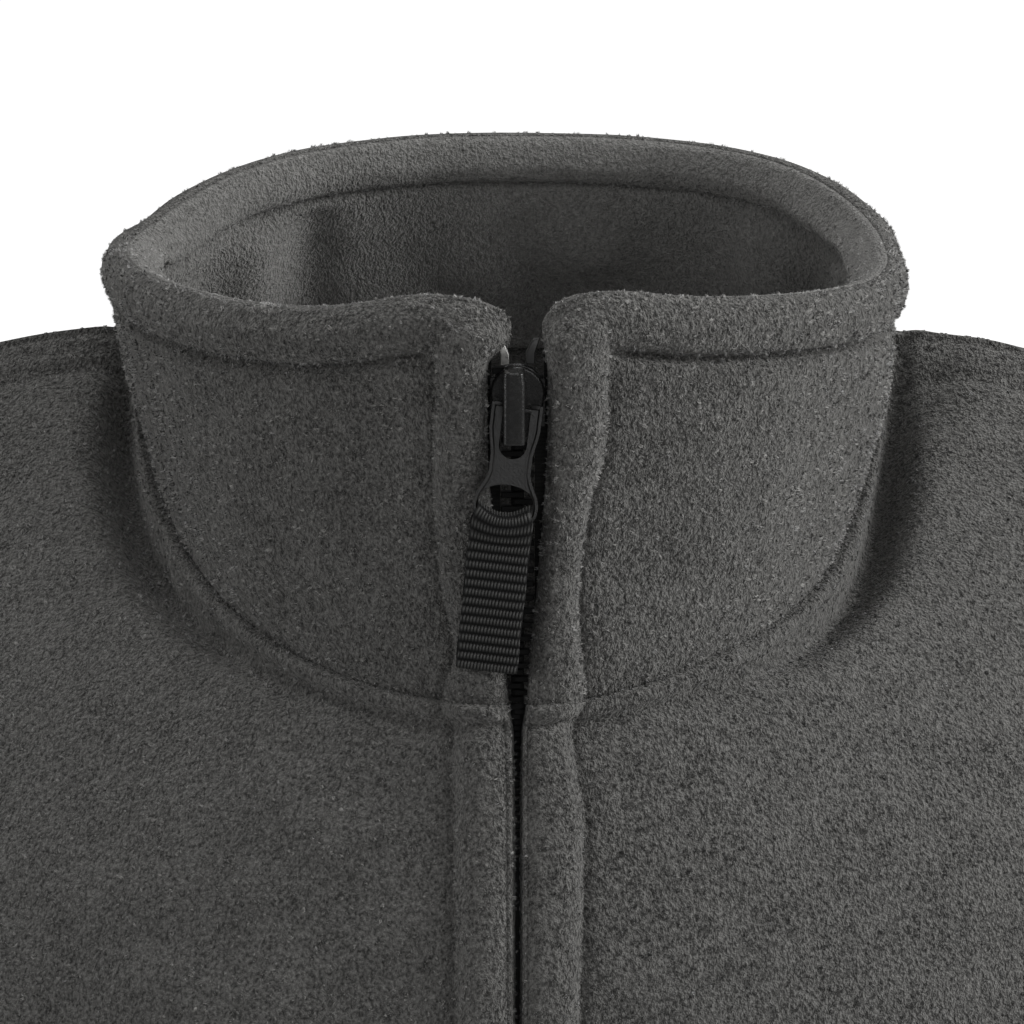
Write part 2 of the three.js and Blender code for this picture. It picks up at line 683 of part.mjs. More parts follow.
// The pull's own frame: origin on its pin, y up the tab, z out of it.
const PULL_FRAME = (() => {
  const tilt = new THREE.Matrix4().makeRotationX(-PULL_TILT);
  const lean = new THREE.Matrix4().makeRotationZ(-PULL_LEAN);
  const move = new THREE.Matrix4().makeTranslation(-0.1, PIVOT_V, PIVOT_N);
  return ZIP_FRAME.clone().multiply(move).multiply(lean).multiply(tilt);
})();

function zipPull() {
  const outline = mirrored([
    [4.2, 1.1], [4.2, -3.5], [3.7, -8], [3.7, -11], [4.6, -13.6], [5.9, -15.6], [5.9, -17.4],
    [5.1, -18.4],
  ]);
  const arc = (x, y, rx, ry, from, to, steps) => {
    return Array.from({ length: steps + 1 }, (_, i) => {
      const turn = mix(from, to, i / steps) * RAD;
      return [x + rx * Math.cos(turn), y + ry * Math.sin(turn)];
    });
  };
  const slot = [[2.5, 2], ...arc(0, -6, 2.5, 2.5, 0, -180, 8), [-2.5, 2]].reverse();
  const eyelet = [...arc(0, -17.1, 4.9, 3.5, 0, 180, 10)].reverse();
  const cut = solidOf(prism(slot, -3, 3)).add(solidOf(prism(eyelet, -3, 3)));
  const plate = solidOf(prism(outline, -PULL_THICK / 2, PULL_THICK / 2)).subtract(cut);
  const pin = new THREE.CylinderGeometry(0.85, 0.85, 5.4, 12).rotateZ(90 * RAD);
  return geometryOf(plate.add(solidOf(pin))).applyMatrix4(PULL_FRAME);
}

// A folded strip of webbing: a loop through the eyelet, its two layers sewn together below.
function pullWebbing() {
  const narrow = WEBBING_HALF * 0.86;
  const loopHalf = [
    [-15.9, 0.7], [-16.6, 1.7], [-17.8, 2.05], [-19.6, 1.8], [-22, 0.8], [-22, -0.8], [-19.6, -1.8],
    [-17.8, -2.05], [-16.6, -1.7], [-15.9, -0.7],
  ];
  const hole = [[-16.8, 0.5], [-17.2, 1.05], [-18.5, 1.05], [-19.2, 0.5], [-19.2, -0.5], [-18.5, -1.05],
    [-17.2, -1.05], [-16.8, -0.5]];
  const loop = prism(loopHalf, -narrow, narrow, [hole]);
  loop.applyMatrix4(new THREE.Matrix4().set(0, 0, 1, 0, 1, 0, 0, 0, 0, 1, 0, 0, 0, 0, 0, 1));
  const shift = (y) => (y + 19.6) * Math.tan(WEBBING_LEAN);
  const strap = prism([
    [4.2, -19.6], [-4.2, -19.6], [-WEBBING_HALF + shift(-22), -22],
    [-WEBBING_HALF + shift(WEBBING_END), WEBBING_END], [WEBBING_HALF + shift(WEBBING_END), WEBBING_END],
    [WEBBING_HALF + shift(-22), -22],
  ], -1.1, 1.1);
  for (const piece of [loop, strap]) {
    const place = piece.getAttribute('position');
    for (let i = 0; i < place.count; i += 1) {
      const below = Math.max(0, -place.getY(i) - 19.6);
      place.setZ(i, place.getZ(i) - below * Math.tan(PULL_TILT));
    }
  }
  return joined([loop, strap]).applyMatrix4(PULL_FRAME);
}

// A metal clip that ends each row of teeth.
function topStop(side) {
  const outline = [[2.1, 62.6], [4.1, 62.6], [4.1, 67], [3.6, 67.6], [2.6, 67.6], [2.1, 67]];
  const placed = outline.map(([x, y]) => [side * x, y]);
  if (side < 0) placed.reverse();
  return geometryOf(solidOf(prism(placed, -1.1, 1.3))).applyMatrix4(ZIP_FRAME);
}

// Retainer box at the foot of the zip.
function zipBox() {
  const foot = bodyPlain(0, 10.87);
  const geometry = new THREE.BoxGeometry(5.4, 3.0, 10.2);
  return geometry.translate(0, foot.y + 0.1, -662.4);
}

// ---- the vest ----
const CLOTH = 0x4a4947;
const CLOTH_ROUGH = 0.95;
const vest = new THREE.Group();
const zip = new THREE.Group();
const pull = new THREE.Group();
vest.name = 'fleece_vest';
zip.name = 'zip';
pull.name = 'pull';
vest.add(
  meshOf('front_left', frontPanel(1), CLOTH, CLOTH_ROUGH, 0),
  meshOf('front_right', frontPanel(-1), CLOTH, CLOTH_ROUGH, 0),
  meshOf('back', backPanel(), CLOTH, CLOTH_ROUGH, 0),
  meshOf('collar', collarShell(), CLOTH, CLOTH_ROUGH, 0),
  meshOf('collar_facing', facingShell(), CLOTH, CLOTH_ROUGH, 0),
  zip,
);
zip.add(
  meshOf('zip_tape_left', zipTape(1), 0x1d1d1d, 0.85, 0),
  meshOf('zip_tape_right', zipTape(-1), 0x1d1d1d, 0.85, 0),
  meshOf('zip_chain', zipChain(), 0x191919, 0.5, 0),
  meshOf('zip_slider', zipSlider(), 0x232322, 0.38, 0.6),
  meshOf('top_stop_left', topStop(1), 0x2b2b2b, 0.35, 0.8),
  meshOf('top_stop_right', topStop(-1), 0x8a8a88, 0.3, 0.9),
  meshOf('zip_box', zipBox(), 0x1a1a1a, 0.5, 0),
  pull,
);
pull.add(
  meshOf('zip_pull', zipPull(), 0x2f2e2c, 0.42, 0.5),
  meshOf('pull_webbing', pullWebbing(), 0x1e1e1d, 0.8, 0),
);

export default vest;
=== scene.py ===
# %% [markdown]
# # A fleece vest with a stand-up zip collar
# The vest is hollow and keeps the shape of a wearer. Its panels are thin shells of brushed
# fleece. This lesson rebuilds each panel finely from the same pattern that shaped the plain
# solids, adds the nap, the zip and its pull, and lights them as in a small studio.

# %% Load the plain solids
import math

import bpy
import numpy as np
from mathutils import Matrix, Vector


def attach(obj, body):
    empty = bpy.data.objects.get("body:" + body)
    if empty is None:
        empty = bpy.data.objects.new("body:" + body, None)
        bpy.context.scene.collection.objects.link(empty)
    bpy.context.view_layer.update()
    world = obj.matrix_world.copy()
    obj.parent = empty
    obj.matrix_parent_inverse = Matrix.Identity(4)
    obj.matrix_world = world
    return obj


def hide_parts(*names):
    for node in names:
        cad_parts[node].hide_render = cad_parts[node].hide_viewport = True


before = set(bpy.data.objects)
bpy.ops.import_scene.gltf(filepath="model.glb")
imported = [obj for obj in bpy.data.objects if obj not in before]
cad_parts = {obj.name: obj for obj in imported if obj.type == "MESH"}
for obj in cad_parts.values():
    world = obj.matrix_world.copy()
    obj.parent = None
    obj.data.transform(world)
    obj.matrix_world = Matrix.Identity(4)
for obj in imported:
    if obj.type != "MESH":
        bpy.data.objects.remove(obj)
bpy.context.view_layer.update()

RAD = math.pi / 180
MM = 0.001

# %% [markdown]
# ## Camera and light
# A long lens from a little above shows the collar as a rounded funnel. A soft lamp at the
# wearer's left rakes across the nap and leaves the other side of the collar in shade. Weaker
# ones above, in front, behind and at the right light the chest, the inside and the rim.

# %% Set the camera
LOOK_AT = Vector((-0.001, -0.072, -0.0045))
CAMERA_RISE = 16 * RAD
CAMERA_AWAY = 1.0
away = Vector((0, -math.cos(CAMERA_RISE), math.sin(CAMERA_RISE)))
camera = bpy.data.objects.new("camera", bpy.data.cameras.new("camera"))
camera.data.lens = 195.1
camera.data.sensor_width = 36
camera.location = LOOK_AT + away * CAMERA_AWAY
camera.rotation_euler = away.to_track_quat("Z", "Y").to_euler()
camera.data.clip_end = 100
bpy.context.collection.objects.link(camera)
bpy.context.scene.camera = camera
print("camera at", tuple(round(x, 3) for x in camera.location))

# %% Hang the lamps
LAMP_SIZE = 0.9
LAMP_AIM = Vector((0, 0, -0.02))


def lamp(name, place, watts):
    """A square softbox that faces a point in the collar."""
    data = bpy.data.lights.new(name, "AREA")
    data.shape, data.size, data.energy = "SQUARE", LAMP_SIZE, watts
    light = bpy.data.objects.new(name, data)
    light.location = place
    light.rotation_euler = (Vector(place) - LAMP_AIM).to_track_quat("Z", "Y").to_euler()
    bpy.context.collection.objects.link(light)


lamp("side_lamp", (1.87, -0.33, 0.89), 50)
lamp("key_lamp", (1.66, -1.16, 0.50), 10)
lamp("front_lamp", (0.35, -1.90, 0.85), 8)
lamp("left_lamp", (-1.85, -0.95, 0.45), 17)
lamp("back_lamp", (-1.14, 0.95, 1.48), 15)
lamp("top_lamp", (0, -0.07, 2.1), 15)
world = bpy.data.worlds.new("studio")
world.use_nodes = True
world.node_tree.nodes["Background"].inputs["Color"].default_value = (1, 1, 1, 1)
world.node_tree.nodes["Background"].inputs["Strength"].default_value = 0.06
bpy.context.scene.world = world
bpy.context.scene.view_settings.view_transform = "Standard"

# %% [markdown]
# ## Finishes
# A finish is a small network of shader nodes. Writing each network by hand is long, so two
# helpers do it: `Value` lets Python's own signs make Math nodes, and `Finish.add` makes any
# other node. Patterns read Object coordinates, which stay with a piece wherever it moves.

# %% Make the helpers for finishes
class Value:
    """A number that varies over a surface. Sums and products of values become Math nodes."""

    def __init__(self, finish, socket):
        self.finish, self.socket = finish, socket

    def _math(self, operation, *terms):
        return self.finish.add("ShaderNodeMath", dict(enumerate(terms)), operation=operation)

    def __add__(self, other):
        return self._math("ADD", self, other)

    def __sub__(self, other):
        return self._math("SUBTRACT", self, other)

    def __mul__(self, other):
        return self._math("MULTIPLY", self, other)

    def clear(self):
        """Kept from 0 to 1."""
        return self._math("MAXIMUM", self._math("MINIMUM", self, 1.0), 0.0)

    def wave(self):
        return self._math("SINE", self)


class Finish:
    """A material with a Principled shader, and one way to add nodes to it."""

    def __init__(self, name, **constants):
        self.material = bpy.data.materials.new(name)
        self.material.use_nodes = True
        self.tree = self.material.node_tree
        self.shader = self.tree.nodes["Principled BSDF"]
        for label, number in constants.items():
            self.shader.inputs[label.replace("_", " ")].default_value = number

    def add(self, kind, inputs=None, output=0, **settings):
        node = self.tree.nodes.new(kind)
        for label, setting in settings.items():
            setattr(node, label, setting)
        for label, given in (inputs or {}).items():
            socket = node.inputs[label]
            if isinstance(given, Value):
                self.tree.links.new(given.socket, socket)
            else:
                socket.default_value = given
        return Value(self, node.outputs[output])

    def set(self, label, value):
        self.tree.links.new(value.socket, self.shader.inputs[label])

    def place(self, scale=(1, 1, 1)):
        """Object coordinates, stretched."""
        here = self.add("ShaderNodeTexCoord", output="Object")
        return self.add("ShaderNodeMapping", {"Vector": here, "Scale": scale})

    def noise(self, where, scale, detail=2.0, rough=0.5):
        inputs = {"Vector": where, "Scale": scale, "Detail": detail, "Roughness": rough}
        return self.add("ShaderNodeTexNoise", inputs, "Fac")

    def tint(self, factor, dark, light):
        """A colour between two, by a value."""
        ramp = self.add("ShaderNodeValToRGB", {"Fac": factor})
        for stop, colour in zip(ramp.socket.node.color_ramp.elements, (dark, light)):
            stop.color = (*colour, 1)
        return ramp

    def bump(self, height, reach):
        inputs = {"Height": height, "Distance": reach, "Strength": 1.0}
        self.set("Normal", self.add("ShaderNodeBump", inputs))


def paint(piece, finish):
    piece.data.materials.clear()
    piece.data.materials.append(finish.material)


def add_piece(mesh, finish):
    """An object at the origin that holds a mesh."""
    piece = bpy.data.objects.new(mesh.name, mesh)
    bpy.context.collection.objects.link(piece)
    paint(piece, finish)
    return piece


# %% [markdown]
# ## Fleece
# Brushed fleece is a knit whose surface is teased into short curly fibres. Close up it is a
# grey mottle: fine grain, small clumps with darker gaps between them, and larger areas where
# the nap leans another way. Three sizes of noise give its colour, the finer two its bump.
# The colour is darker where the bump is low, so the gaps between the clumps hold painted
# shade as well as random variation; the larger patches are random variation only.
# Sheen gives the soft light edge that loose fibres have.

# %% Mix the fleece
def fleece_finish(name, dark, light):
    fleece = Finish(name, Roughness=0.95, Specular_IOR_Level=0.1, Sheen_Weight=0.2,
                    Sheen_Roughness=0.5, Sheen_Tint=(0.8, 0.79, 0.76, 1))
    where = fleece.place(scale=(1, 0.75, 0.85))
    grains = fleece.noise(where, 1900, 2.0, 0.7)
    clumps = fleece.noise(where, 950, 2.0, 0.6)
    leaning = fleece.noise(fleece.place(), 95, 2.0, 0.5)
    # Darker where the bump is low: painted shade in the gaps between clumps, with random variation.
    shade = grains * 1.7 + clumps * 1.1 + leaning * 0.3 - 1.1
    fleece.set("Base Color", fleece.tint(shade.clear(), dark, light))
    fleece.bump(grains * 0.5 + clumps * 0.9, 0.0014)
    return fleece


CHARCOAL = fleece_finish("charcoal_fleece", (0.018, 0.0177, 0.017), (0.13, 0.128, 0.123))
# The inside of the collar is the same fleece painted lighter: painted light for the shade inside the
# collar.
INSIDE_PAINTED_LIGHT = fleece_finish("charcoal_inside", (0.075, 0.074, 0.071), (0.17, 0.168, 0.162))
print("finishes:", CHARCOAL.material.name, INSIDE_PAINTED_LIGHT.material.name)

# %% [markdown]
# ## The pattern surface
# The vest is drawn as a stack of closed rings, from the neck seam (level 0) down to the hem
# (level 11). Each row of the table is one ring: how far it reaches to the side, the front and
# the back, how high it is there, and how square its corners are. A smooth curve through each
# column gives every ring between. All lengths in this part are millimetres.

# %% Draw the rings
COLUMNS = "side sideY sideZ frontY frontZ backY backZ frontBend backBend square".split()
LEVELS = np.array([
    [72.2, 42, 0, -78, -39, 92, -14, 0.62, 0.9, 2.05],
    [104, 41, -6, -92, -68, 107, -39, 0.75, 1.0, 2.1],
    [140, 35, -17, -105, -105, 117, -73, 0.95, 1.1, 2.2],
    [174, 29, -31, -113, -140, 122, -109, 1.15, 1.2, 2.3],
    [205, 22, -47, -120, -176, 125, -145, 1.3, 1.3, 2.4],
    [222, 16, -98, -127, -213, 126, -182, 1.2, 1.2, 2.5],
    [224, 10, -168, -132, -243, 125, -220, 1.1, 1.1, 2.5],
    [213, 6, -240, -134, -270, 122, -254, 1.0, 1.0, 2.45],
    [207, 4, -330, -131, -342, 118, -335, 1.0, 1.0, 2.4],
    [202, 2, -440, -126, -446, 115, -441, 1.0, 1.0, 2.35],
    [203, 0, -560, -124, -562, 117, -560, 1.0, 1.0, 2.35],
    [205, 0, -668, -123, -668, 119, -668, 1.0, 1.0, 2.35],
], float)
RIM = dict(zip(COLUMNS, (69.9, 0, 26, -70, 34, 70, 33, 2, 2, 2.1)))
NECK_STEP = 31


def mix(a, b, share):
    return a + (b - a) * share


def ease(low, high, value):
    share = np.clip((np.asarray(value, float) - low) / (high - low), 0, 1)
    return share * share * (3 - 2 * share)


def bell(x):
    return np.exp(-np.square(x))


def matched(*values):
    """The values as arrays of floats of one shape."""
    return np.broadcast_arrays(*(np.asarray(value, float) for value in values))


def ring_at(level):
    """The ring at any level, as named columns."""
    level = np.asarray(level, float)
    last = len(LEVELS) - 1
    i = np.clip(np.floor(level), 0, last - 1).astype(int)
    t = (level - i)[..., None]
    a, b, c, d = (LEVELS[np.clip(i + k, 0, last)] for k in (-1, 0, 1, 2))
    row = 0.5 * (2 * b + t * (c - a + t * (2 * a - 5 * b + 4 * c - d + (3 * b - a - 3 * c + d) * t)))
    return {name: row[..., k] for k, name in enumerate(COLUMNS)}


def ring_point(ring, angle, back_square=None):
    cosine, sine = np.cos(angle), np.sin(angle)
    front = cosine > 0
    square = ring["square"] if back_square is None else np.where(front, ring["square"], back_square)
    reach = np.abs(cosine)
    reach_y = reach ** (2 / square)
    reach_z = reach ** np.where(front, ring["frontBend"], ring["backBend"])
    x = ring["side"] * np.sign(sine) * np.abs(sine) ** (2 / square)
    y = mix(ring["sideY"], np.where(front, ring["frontY"], ring["backY"]), reach_y)
    z = mix(ring["sideZ"], np.where(front, ring["frontZ"], ring["backZ"]), reach_z)
    return np.stack(np.broadcast_arrays(x, y, z), -1)


def angle_at(ring, x):
    """The angle at which a ring is x from the centre line, on the front."""
    return np.arcsin(np.clip(x / ring["side"], 0, 1) ** (ring["square"] / 2))


def turn_of(angle):
    """Degrees round from the front: 0 in front, -90 at the wearer's right, 90 at the left."""
    return np.arctan2(np.sin(angle), np.cos(angle)) / RAD


def sideways(angle, rise=0.0):
    """The way out from the middle of the vest at an angle, level or rising."""
    return np.stack(matched(np.sin(angle), -np.cos(angle), rise), -1)


def body_plain(angle, level):
    angle, level = matched(angle, level)
    point = ring_point(ring_at(level), angle)
    turn = turn_of(angle)
    point[..., 2] += 1.8 * bell((turn - 29) / 17) * ease(1.2, 0, level)
    point[..., 0] += (2.1 * bell((turn + 78) / 27) - 5.4 * bell((turn - 76) / 26)) * ease(1.0, 0, level)
    return point


def unit(vectors):
    return vectors / (np.linalg.norm(vectors, axis=-1, keepdims=True) + 1e-12)


def normal_of(surface, a, b, step_a, step_b, outward):
    across = surface(a + step_a, b) - surface(a - step_a, b)
    along = surface(a, b + step_b) - surface(a, b - step_b)
    normal = unit(np.cross(across, along))
    return normal * np.where((normal * outward).sum(-1) < 0, -1.0, 1.0)[..., None]


def body_normal(angle, level):
    angle, level = matched(angle, np.clip(level, 0.012, 10.99))
    outward = sideways(angle, np.where(level < 5, 1.2, 0.0))
    return normal_of(body_plain, angle, level, mix(0.2, 0.05, ease(1, 3.5, level)), 0.01, outward)


print("rings:", len(LEVELS), "hem width:", 2 * LEVELS[-1][0], "mm")

# %% [markdown]
# ## Soft shape of the cloth
# Worn cloth isn't a clean tube. There is a trough where the collar stands up from the
# shoulders, a puffed edge beyond it, and long soft folds from the armholes and down the body.
# Each large fold is one row: 1 on the front or -1 on the back, where it starts and ends, how
# wide and how high it is. Those that start below the chest are drawn deeper.

# %% Place the folds
CHEST_Z = -200
BODY_FOLDS = 1.35
FOLDS = np.array([
    [1, -176, -176, -92, -236, 16, 7.5], [1, -182, -218, -84, -296, 19, -6.0],
    [1, 174, -172, 100, -230, 15, 6.6], [1, 186, -222, 88, -322, 20, -6.4],
    [1, -96, -76, -66, -152, 15, -2.4], [1, 106, -70, 68, -164, 16, -2.8],
    [1, -128, -322, -110, -570, 25, 8.0], [1, -70, -410, -76, -655, 21, -6.0],
    [1, 118, -350, 134, -610, 24, 7.6], [1, 64, -460, 58, -662, 19, -5.2],
    [1, -168, -470, -176, -660, 22, -5.6], [1, 188, -292, 116, -356, 14, 5.6],
    [1, -192, -280, -114, -352, 15, 5.2], [-1, -160, -150, -60, -198, 19, -5.6],
    [-1, 166, -158, 50, -188, 18, -5.2], [-1, -180, -224, -80, -332, 19, 7.0],
    [-1, 184, -234, 86, -322, 20, 6.4], [-1, -58, -290, -64, -610, 27, -7.0],
    [-1, 42, -320, 52, -645, 25, 6.6], [-1, 128, -380, 142, -652, 23, -6.6],
    [-1, -136, -390, -148, -645, 21, 6.6], [-1, 0, -70, 4, -190, 26, -3.0],
], float)


def fold_height(point, front):
    total = np.zeros(point.shape[:-1])
    for face, x1, z1, x2, z2, wide, high in FOLDS:
        dx, dz = x2 - x1, z2 - z1
        length = math.hypot(dx, dz)
        along = ((point[..., 0] - x1) * dx + (point[..., 2] - z1) * dz) / length
        off = ((point[..., 0] - x1) * dz - (point[..., 2] - z1) * dx) / length
        ends = ease(-0.25, 0.3, along / length) * ease(1.25, 0.7, along / length)
        deep = BODY_FOLDS if z1 < CHEST_Z else 1
        total += deep * high * ends * bell(off / wide) * (front == face)
    return total


def crossing_waves(point, seed, count, shortest, longest):
    """Random waves through space, the same in every run: phase, way and rate of each."""
    random = np.random.default_rng(seed)
    for _ in range(count):
        way = unit(random.normal(size=3))
        rate = 2 * math.pi / random.uniform(shortest, longest)
        yield point @ way * rate + random.uniform(0, 6.28), way, rate


def lumps(point, size, seed):
    """Smooth unevenness."""
    waves = crossing_waves(point, seed, 9, 0.6 * size, 1.7 * size)
    return sum(np.sin(phase) for phase, way, rate in waves) / 4.2


def relief(angle, level):
    """How far the worn cloth stands out from the plain rings."""
    angle, level = matched(angle, level)
    below = level * NECK_STEP
    turn = np.arccos(np.cos(angle)) / RAD
    flank = bell((turn - 66) / 28) * ease(94, 80, turn) + 0.45 * bell((turn - 134) / 22)
    trough = -(0.8 + 8.7 * flank) * bell((below - 8 - 3.2 * flank) / 3.1)
    is_left = np.sin(angle) > 0
    left = is_left * bell((turn - 74) / 18)
    trough = trough * (1 - 0.6 * left) - 7.0 * left * ease(95, 87, turn) * bell((below - 9.0) / 2.5)
    dent = -4.0 * is_left * bell((turn - 85) / 4.5) * bell((below - 13) / 5)
    slump = -1.9 * is_left * bell((turn - 90) / 30) * ease(8, 26, below) * ease(3.4, 2, level)
    puff = (0.5 + 2.2 * flank) * ease(6, 26, below) * ease(3.4, 1.1, level)
    plain = body_plain(angle, level)
    folds = fold_height(plain, np.where(np.cos(angle) > 0, 1, -1))
    return trough + dent + slump + puff + folds * ease(0.03, 0.14, np.abs(np.sin(angle)))


print("large folds:", len(FOLDS))

# %% [markdown]
# ## Collar surface
# The collar is a band that stands on the neck ring and ends in the rim ring above it. Straight
# lines between the two would look like a paper cone, so the wall also swells a little at the
# sides. Body and collar share one direction where they meet, halfway between their own, and
# that closes the corner between their thicknesses.

# %% Draw the collar surface
COLLAR_SWELL = 1.7


def rim_point(angle):
    """The rim is flattened behind the right shoulder, where the collar leans outwards."""
    angle = np.asarray(angle, float)
    turn = turn_of(angle)
    back_square = np.where(turn < 0, mix(2.32, 2.5, ease(-150, -180, turn)), 2.5)
    point = ring_point(RIM, angle + 10 * RAD * np.sin(angle), back_square)
    point[..., 0] -= 5.4 * bell((turn + 94) / 30) + 0.3 * bell((turn - 92) / 24)
    point[..., 2] += 2.6 * bell((turn + 62) / 20) - 3.8 * bell((turn + 104) / 14)
    point[..., 2] += 1.5 * bell((turn + 140) / 22) + 1.3 * bell((turn - 126) / 26)
    point[..., 2] += 1.2 * bell((point[..., 0] - 18) / 9) * (point[..., 1] < 0)
    return point


def collar_height(angle):
    return np.linalg.norm(rim_point(angle) - body_plain(angle, 0), axis=-1)


def collar_plain(angle, v):
    """The collar wall, v millimetres up from the neck seam."""
    angle, v = matched(angle, v)
    share = (v / collar_height(angle))[..., None]
    point = mix(body_plain(angle, np.zeros_like(v)), rim_point(angle), share)
    swell = (COLLAR_SWELL - 1.0 * bell((turn_of(angle) - 84) / 24)) * np.sin(angle) ** 2
    belly = np.sin(math.pi * np.clip(share, 0, 1)) * swell[..., None]
    return point + belly * sideways(angle)


def collar_normal(angle, v):
    angle, v = matched(angle, v)
    return normal_of(collar_plain, angle, v, 0.02, 0.5, sideways(angle))


def mitre(angle):
    """Body and collar share this direction where they meet."""
    body, collar = body_normal(angle, 0.012), collar_normal(angle, 1.0)
    return (body + collar) / (1 + (body * collar).sum(-1, keepdims=True))


def body_point(angle, level, out):
    """A point out from the body's line of cloth."""
    angle, level, out = matched(angle, level, out)
    normal = body_normal(angle, level)
    share = ease(0, 0.3, level)[..., None]
    way = mix(mitre(angle), normal, share)
    rise = (relief(angle, level) * ease(0, 0.1, level))[..., None]
    return body_plain(angle, level) + normal * rise + way * out[..., None]


def collar_point(angle, v, out):
    """A point out from the collar's line of cloth, or in where out is below 0."""
    angle, v, out = matched(angle, v, out)
    normal = collar_normal(angle, v)
    share = ease(0, 9, v)[..., None]
    way = np.where(out[..., None] > 0, mix(mitre(angle), normal, share), normal)
    return collar_plain(angle, v) + way * out[..., None]


def collar_angle_at(v, x):
    """Angle of the collar point that is x from the centre line."""
    v, x = matched(v, x)
    angle = x / 75
    for _ in range(6):
        slope = (collar_plain(angle + 0.01, v) - collar_plain(angle - 0.01, v))[..., 0] / 0.02
        angle = angle + (x - collar_plain(angle, v)[..., 0]) / slope
    return np.maximum(angle, 0.0005)


print("collar height at front, side, back:",
      [round(float(collar_height(np.array(a * RAD))), 1) for a in (0.1, 90, 180)])

# %% [markdown]
# ## Sheets with thickness
# Each panel is a grid of points for its outer face and another for its inner face. Joining
# the two along all four edges gives a closed shell with the real thickness of the cloth,
# which shades and casts shadows better than a bare surface.

# %% Make a shell from two grids
FLEECE = 2.6
LINE = 0.6
GRIDS = {}


def shell(name, outer, inner, finish, node, body="vest", slot_name="fleece"):
    GRIDS[name] = outer, inner
    rows, columns = outer.shape[:2]
    points = np.concatenate([outer.reshape(-1, 3), inner.reshape(-1, 3)]) * MM
    k = np.arange(rows * columns).reshape(rows, columns)
    far = k + rows * columns

    def quads(a, b, c, d):
        return np.stack([corner.ravel() for corner in (a, b, c, d)], -1)

    faces = np.concatenate([
        quads(k[:-1, :-1], k[:-1, 1:], k[1:, 1:], k[1:, :-1]),
        quads(far[:-1, :-1], far[1:, :-1], far[1:, 1:], far[:-1, 1:]),
        quads(k[:-1, 0], k[1:, 0], far[1:, 0], far[:-1, 0]),
        quads(k[1:, -1], k[:-1, -1], far[:-1, -1], far[1:, -1]),
        quads(k[0, 1:], k[0, :-1], far[0, :-1], far[0, 1:]),
        quads(k[-1, :-1], k[-1, 1:], far[-1, 1:], far[-1, :-1]),
    ])
    a, b, c, d = (points[faces[:, i]] for i in range(4))
    volume = (a * np.cross(b, c)).sum() + (a * np.cross(c, d)).sum()
    if volume < 0:
        faces = faces[:, ::-1]
    mesh = bpy.data.meshes.new(name)
    mesh.from_pydata(points.tolist(), [], faces.tolist())
    mesh.update()
    mesh.shade_smooth()
    piece = add_piece(mesh, finish)
    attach(piece, body)
    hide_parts(node)
    print(name, "triangles:", 2 * len(faces))
    return piece


# %% [markdown]
# ## Zip edges
# The cloth is turned in along the zip and stitched down, which leaves a soft padded fold on
# each side. Two tables give the folds: half the gap between them and the width of each at
# heights along the zip, and the thickness across one. A smooth curve reads them between rows.

# %% Set out the zip edges
ZIP_V, ZIP_GAP, ZIP_LEFT, ZIP_RIGHT = np.array([
    [-620, 0.4, 10.6, 10.6], [-240, 0.4, 10.3, 10.9], [-70, 0.4, 10.4, 10.6],
    [-24, 0.4, 10.7, 11.2], [-9, 0.6, 10.6, 9.0], [0, 1.5, 11.2, 9.9], [10, 2.3, 8.4, 8.5],
    [22, 3.4, 9.8, 7.2], [36, 4.6, 9.7, 7.9], [46, 5.25, 9.2, 10.0], [60, 5.3, 8.9, 10.5],
    [67, 4.9, 9.6, 11.6], [76, 4.3, 10.6, 12.4],
]).T
FOLD_Q, FOLD_THICK = np.array([
    [0, 0.6], [0.01, 1.7], [0.03, 2.9], [0.075, 4.4], [0.15, 5.5], [0.25, 6.1], [0.37, 6.35],
    [0.5, 6.4], [0.63, 6.25], [0.75, 5.8], [0.85, 5.1], [0.93, 3.9], [0.98, 2.6], [1.02, 2.2],
    [1.1, 2.5], [1.25, 2.75], [1.5, FLEECE],
]).T
FOLD_STEPS = np.concatenate([[0, 0.008, 0.02, 0.045, 0.08, 0.12], np.linspace(0.17, 0.85, 11),
                             [0.9, 0.94, 0.97, 1.0, 1.03, 1.07, 1.12, 1.2, 1.32, 1.5]])
PAST_FOLD = 9.0
BEND_LEVEL, BEND_V, BODY_STEP = 0.9, -28, 58


def read(x, xs, ys):
    """Reads a table along a smooth curve that never overshoots its rows."""
    step, rise = np.diff(xs), np.diff(ys) / np.diff(xs)
    slope = np.zeros(len(xs))
    product, total = rise[:-1] * rise[1:], rise[:-1] + rise[1:]
    slope[1:-1] = np.where(product > 0, 2 * product / np.where(product > 0, total, 1), 0)
    x = np.clip(x, xs[0], xs[-1])
    i = np.clip(np.searchsorted(xs, x, side="right") - 1, 0, len(step) - 1)
    h, t = step[i], (x - xs[i]) / step[i]
    low = (1 + 2 * t) * (1 - t) ** 2 * ys[i] + t * (1 - t) ** 2 * h * slope[i]
    return low + t * t * (3 - 2 * t) * ys[i + 1] + t * t * (t - 1) * h * slope[i + 1]


def lean_in(v, side):
    """The top of the wearer's right fold leans over the zip."""
    return 3.3 * ease(63.5, 70.5, v) if side < 0 else 0 * v


def zip_half(v, side):
    return read(v, ZIP_V, ZIP_GAP) - lean_in(v, side)


def fold_width(v, side):
    return read(v, ZIP_V, ZIP_RIGHT if side > 0 else ZIP_LEFT) + lean_in(v, side)


def inner_face(x):
    return LINE + 1.1 * ease(4.9, 3.5, x)


def under_neck(level):
    """Distance along the zip from the neck seam, negative below it."""
    below_bend = BEND_V - (level - BEND_LEVEL) * BODY_STEP
    return np.where(level < BEND_LEVEL, -level * NECK_STEP, below_bend)


print("zip folds are", FOLD_THICK.max(), "mm thick")

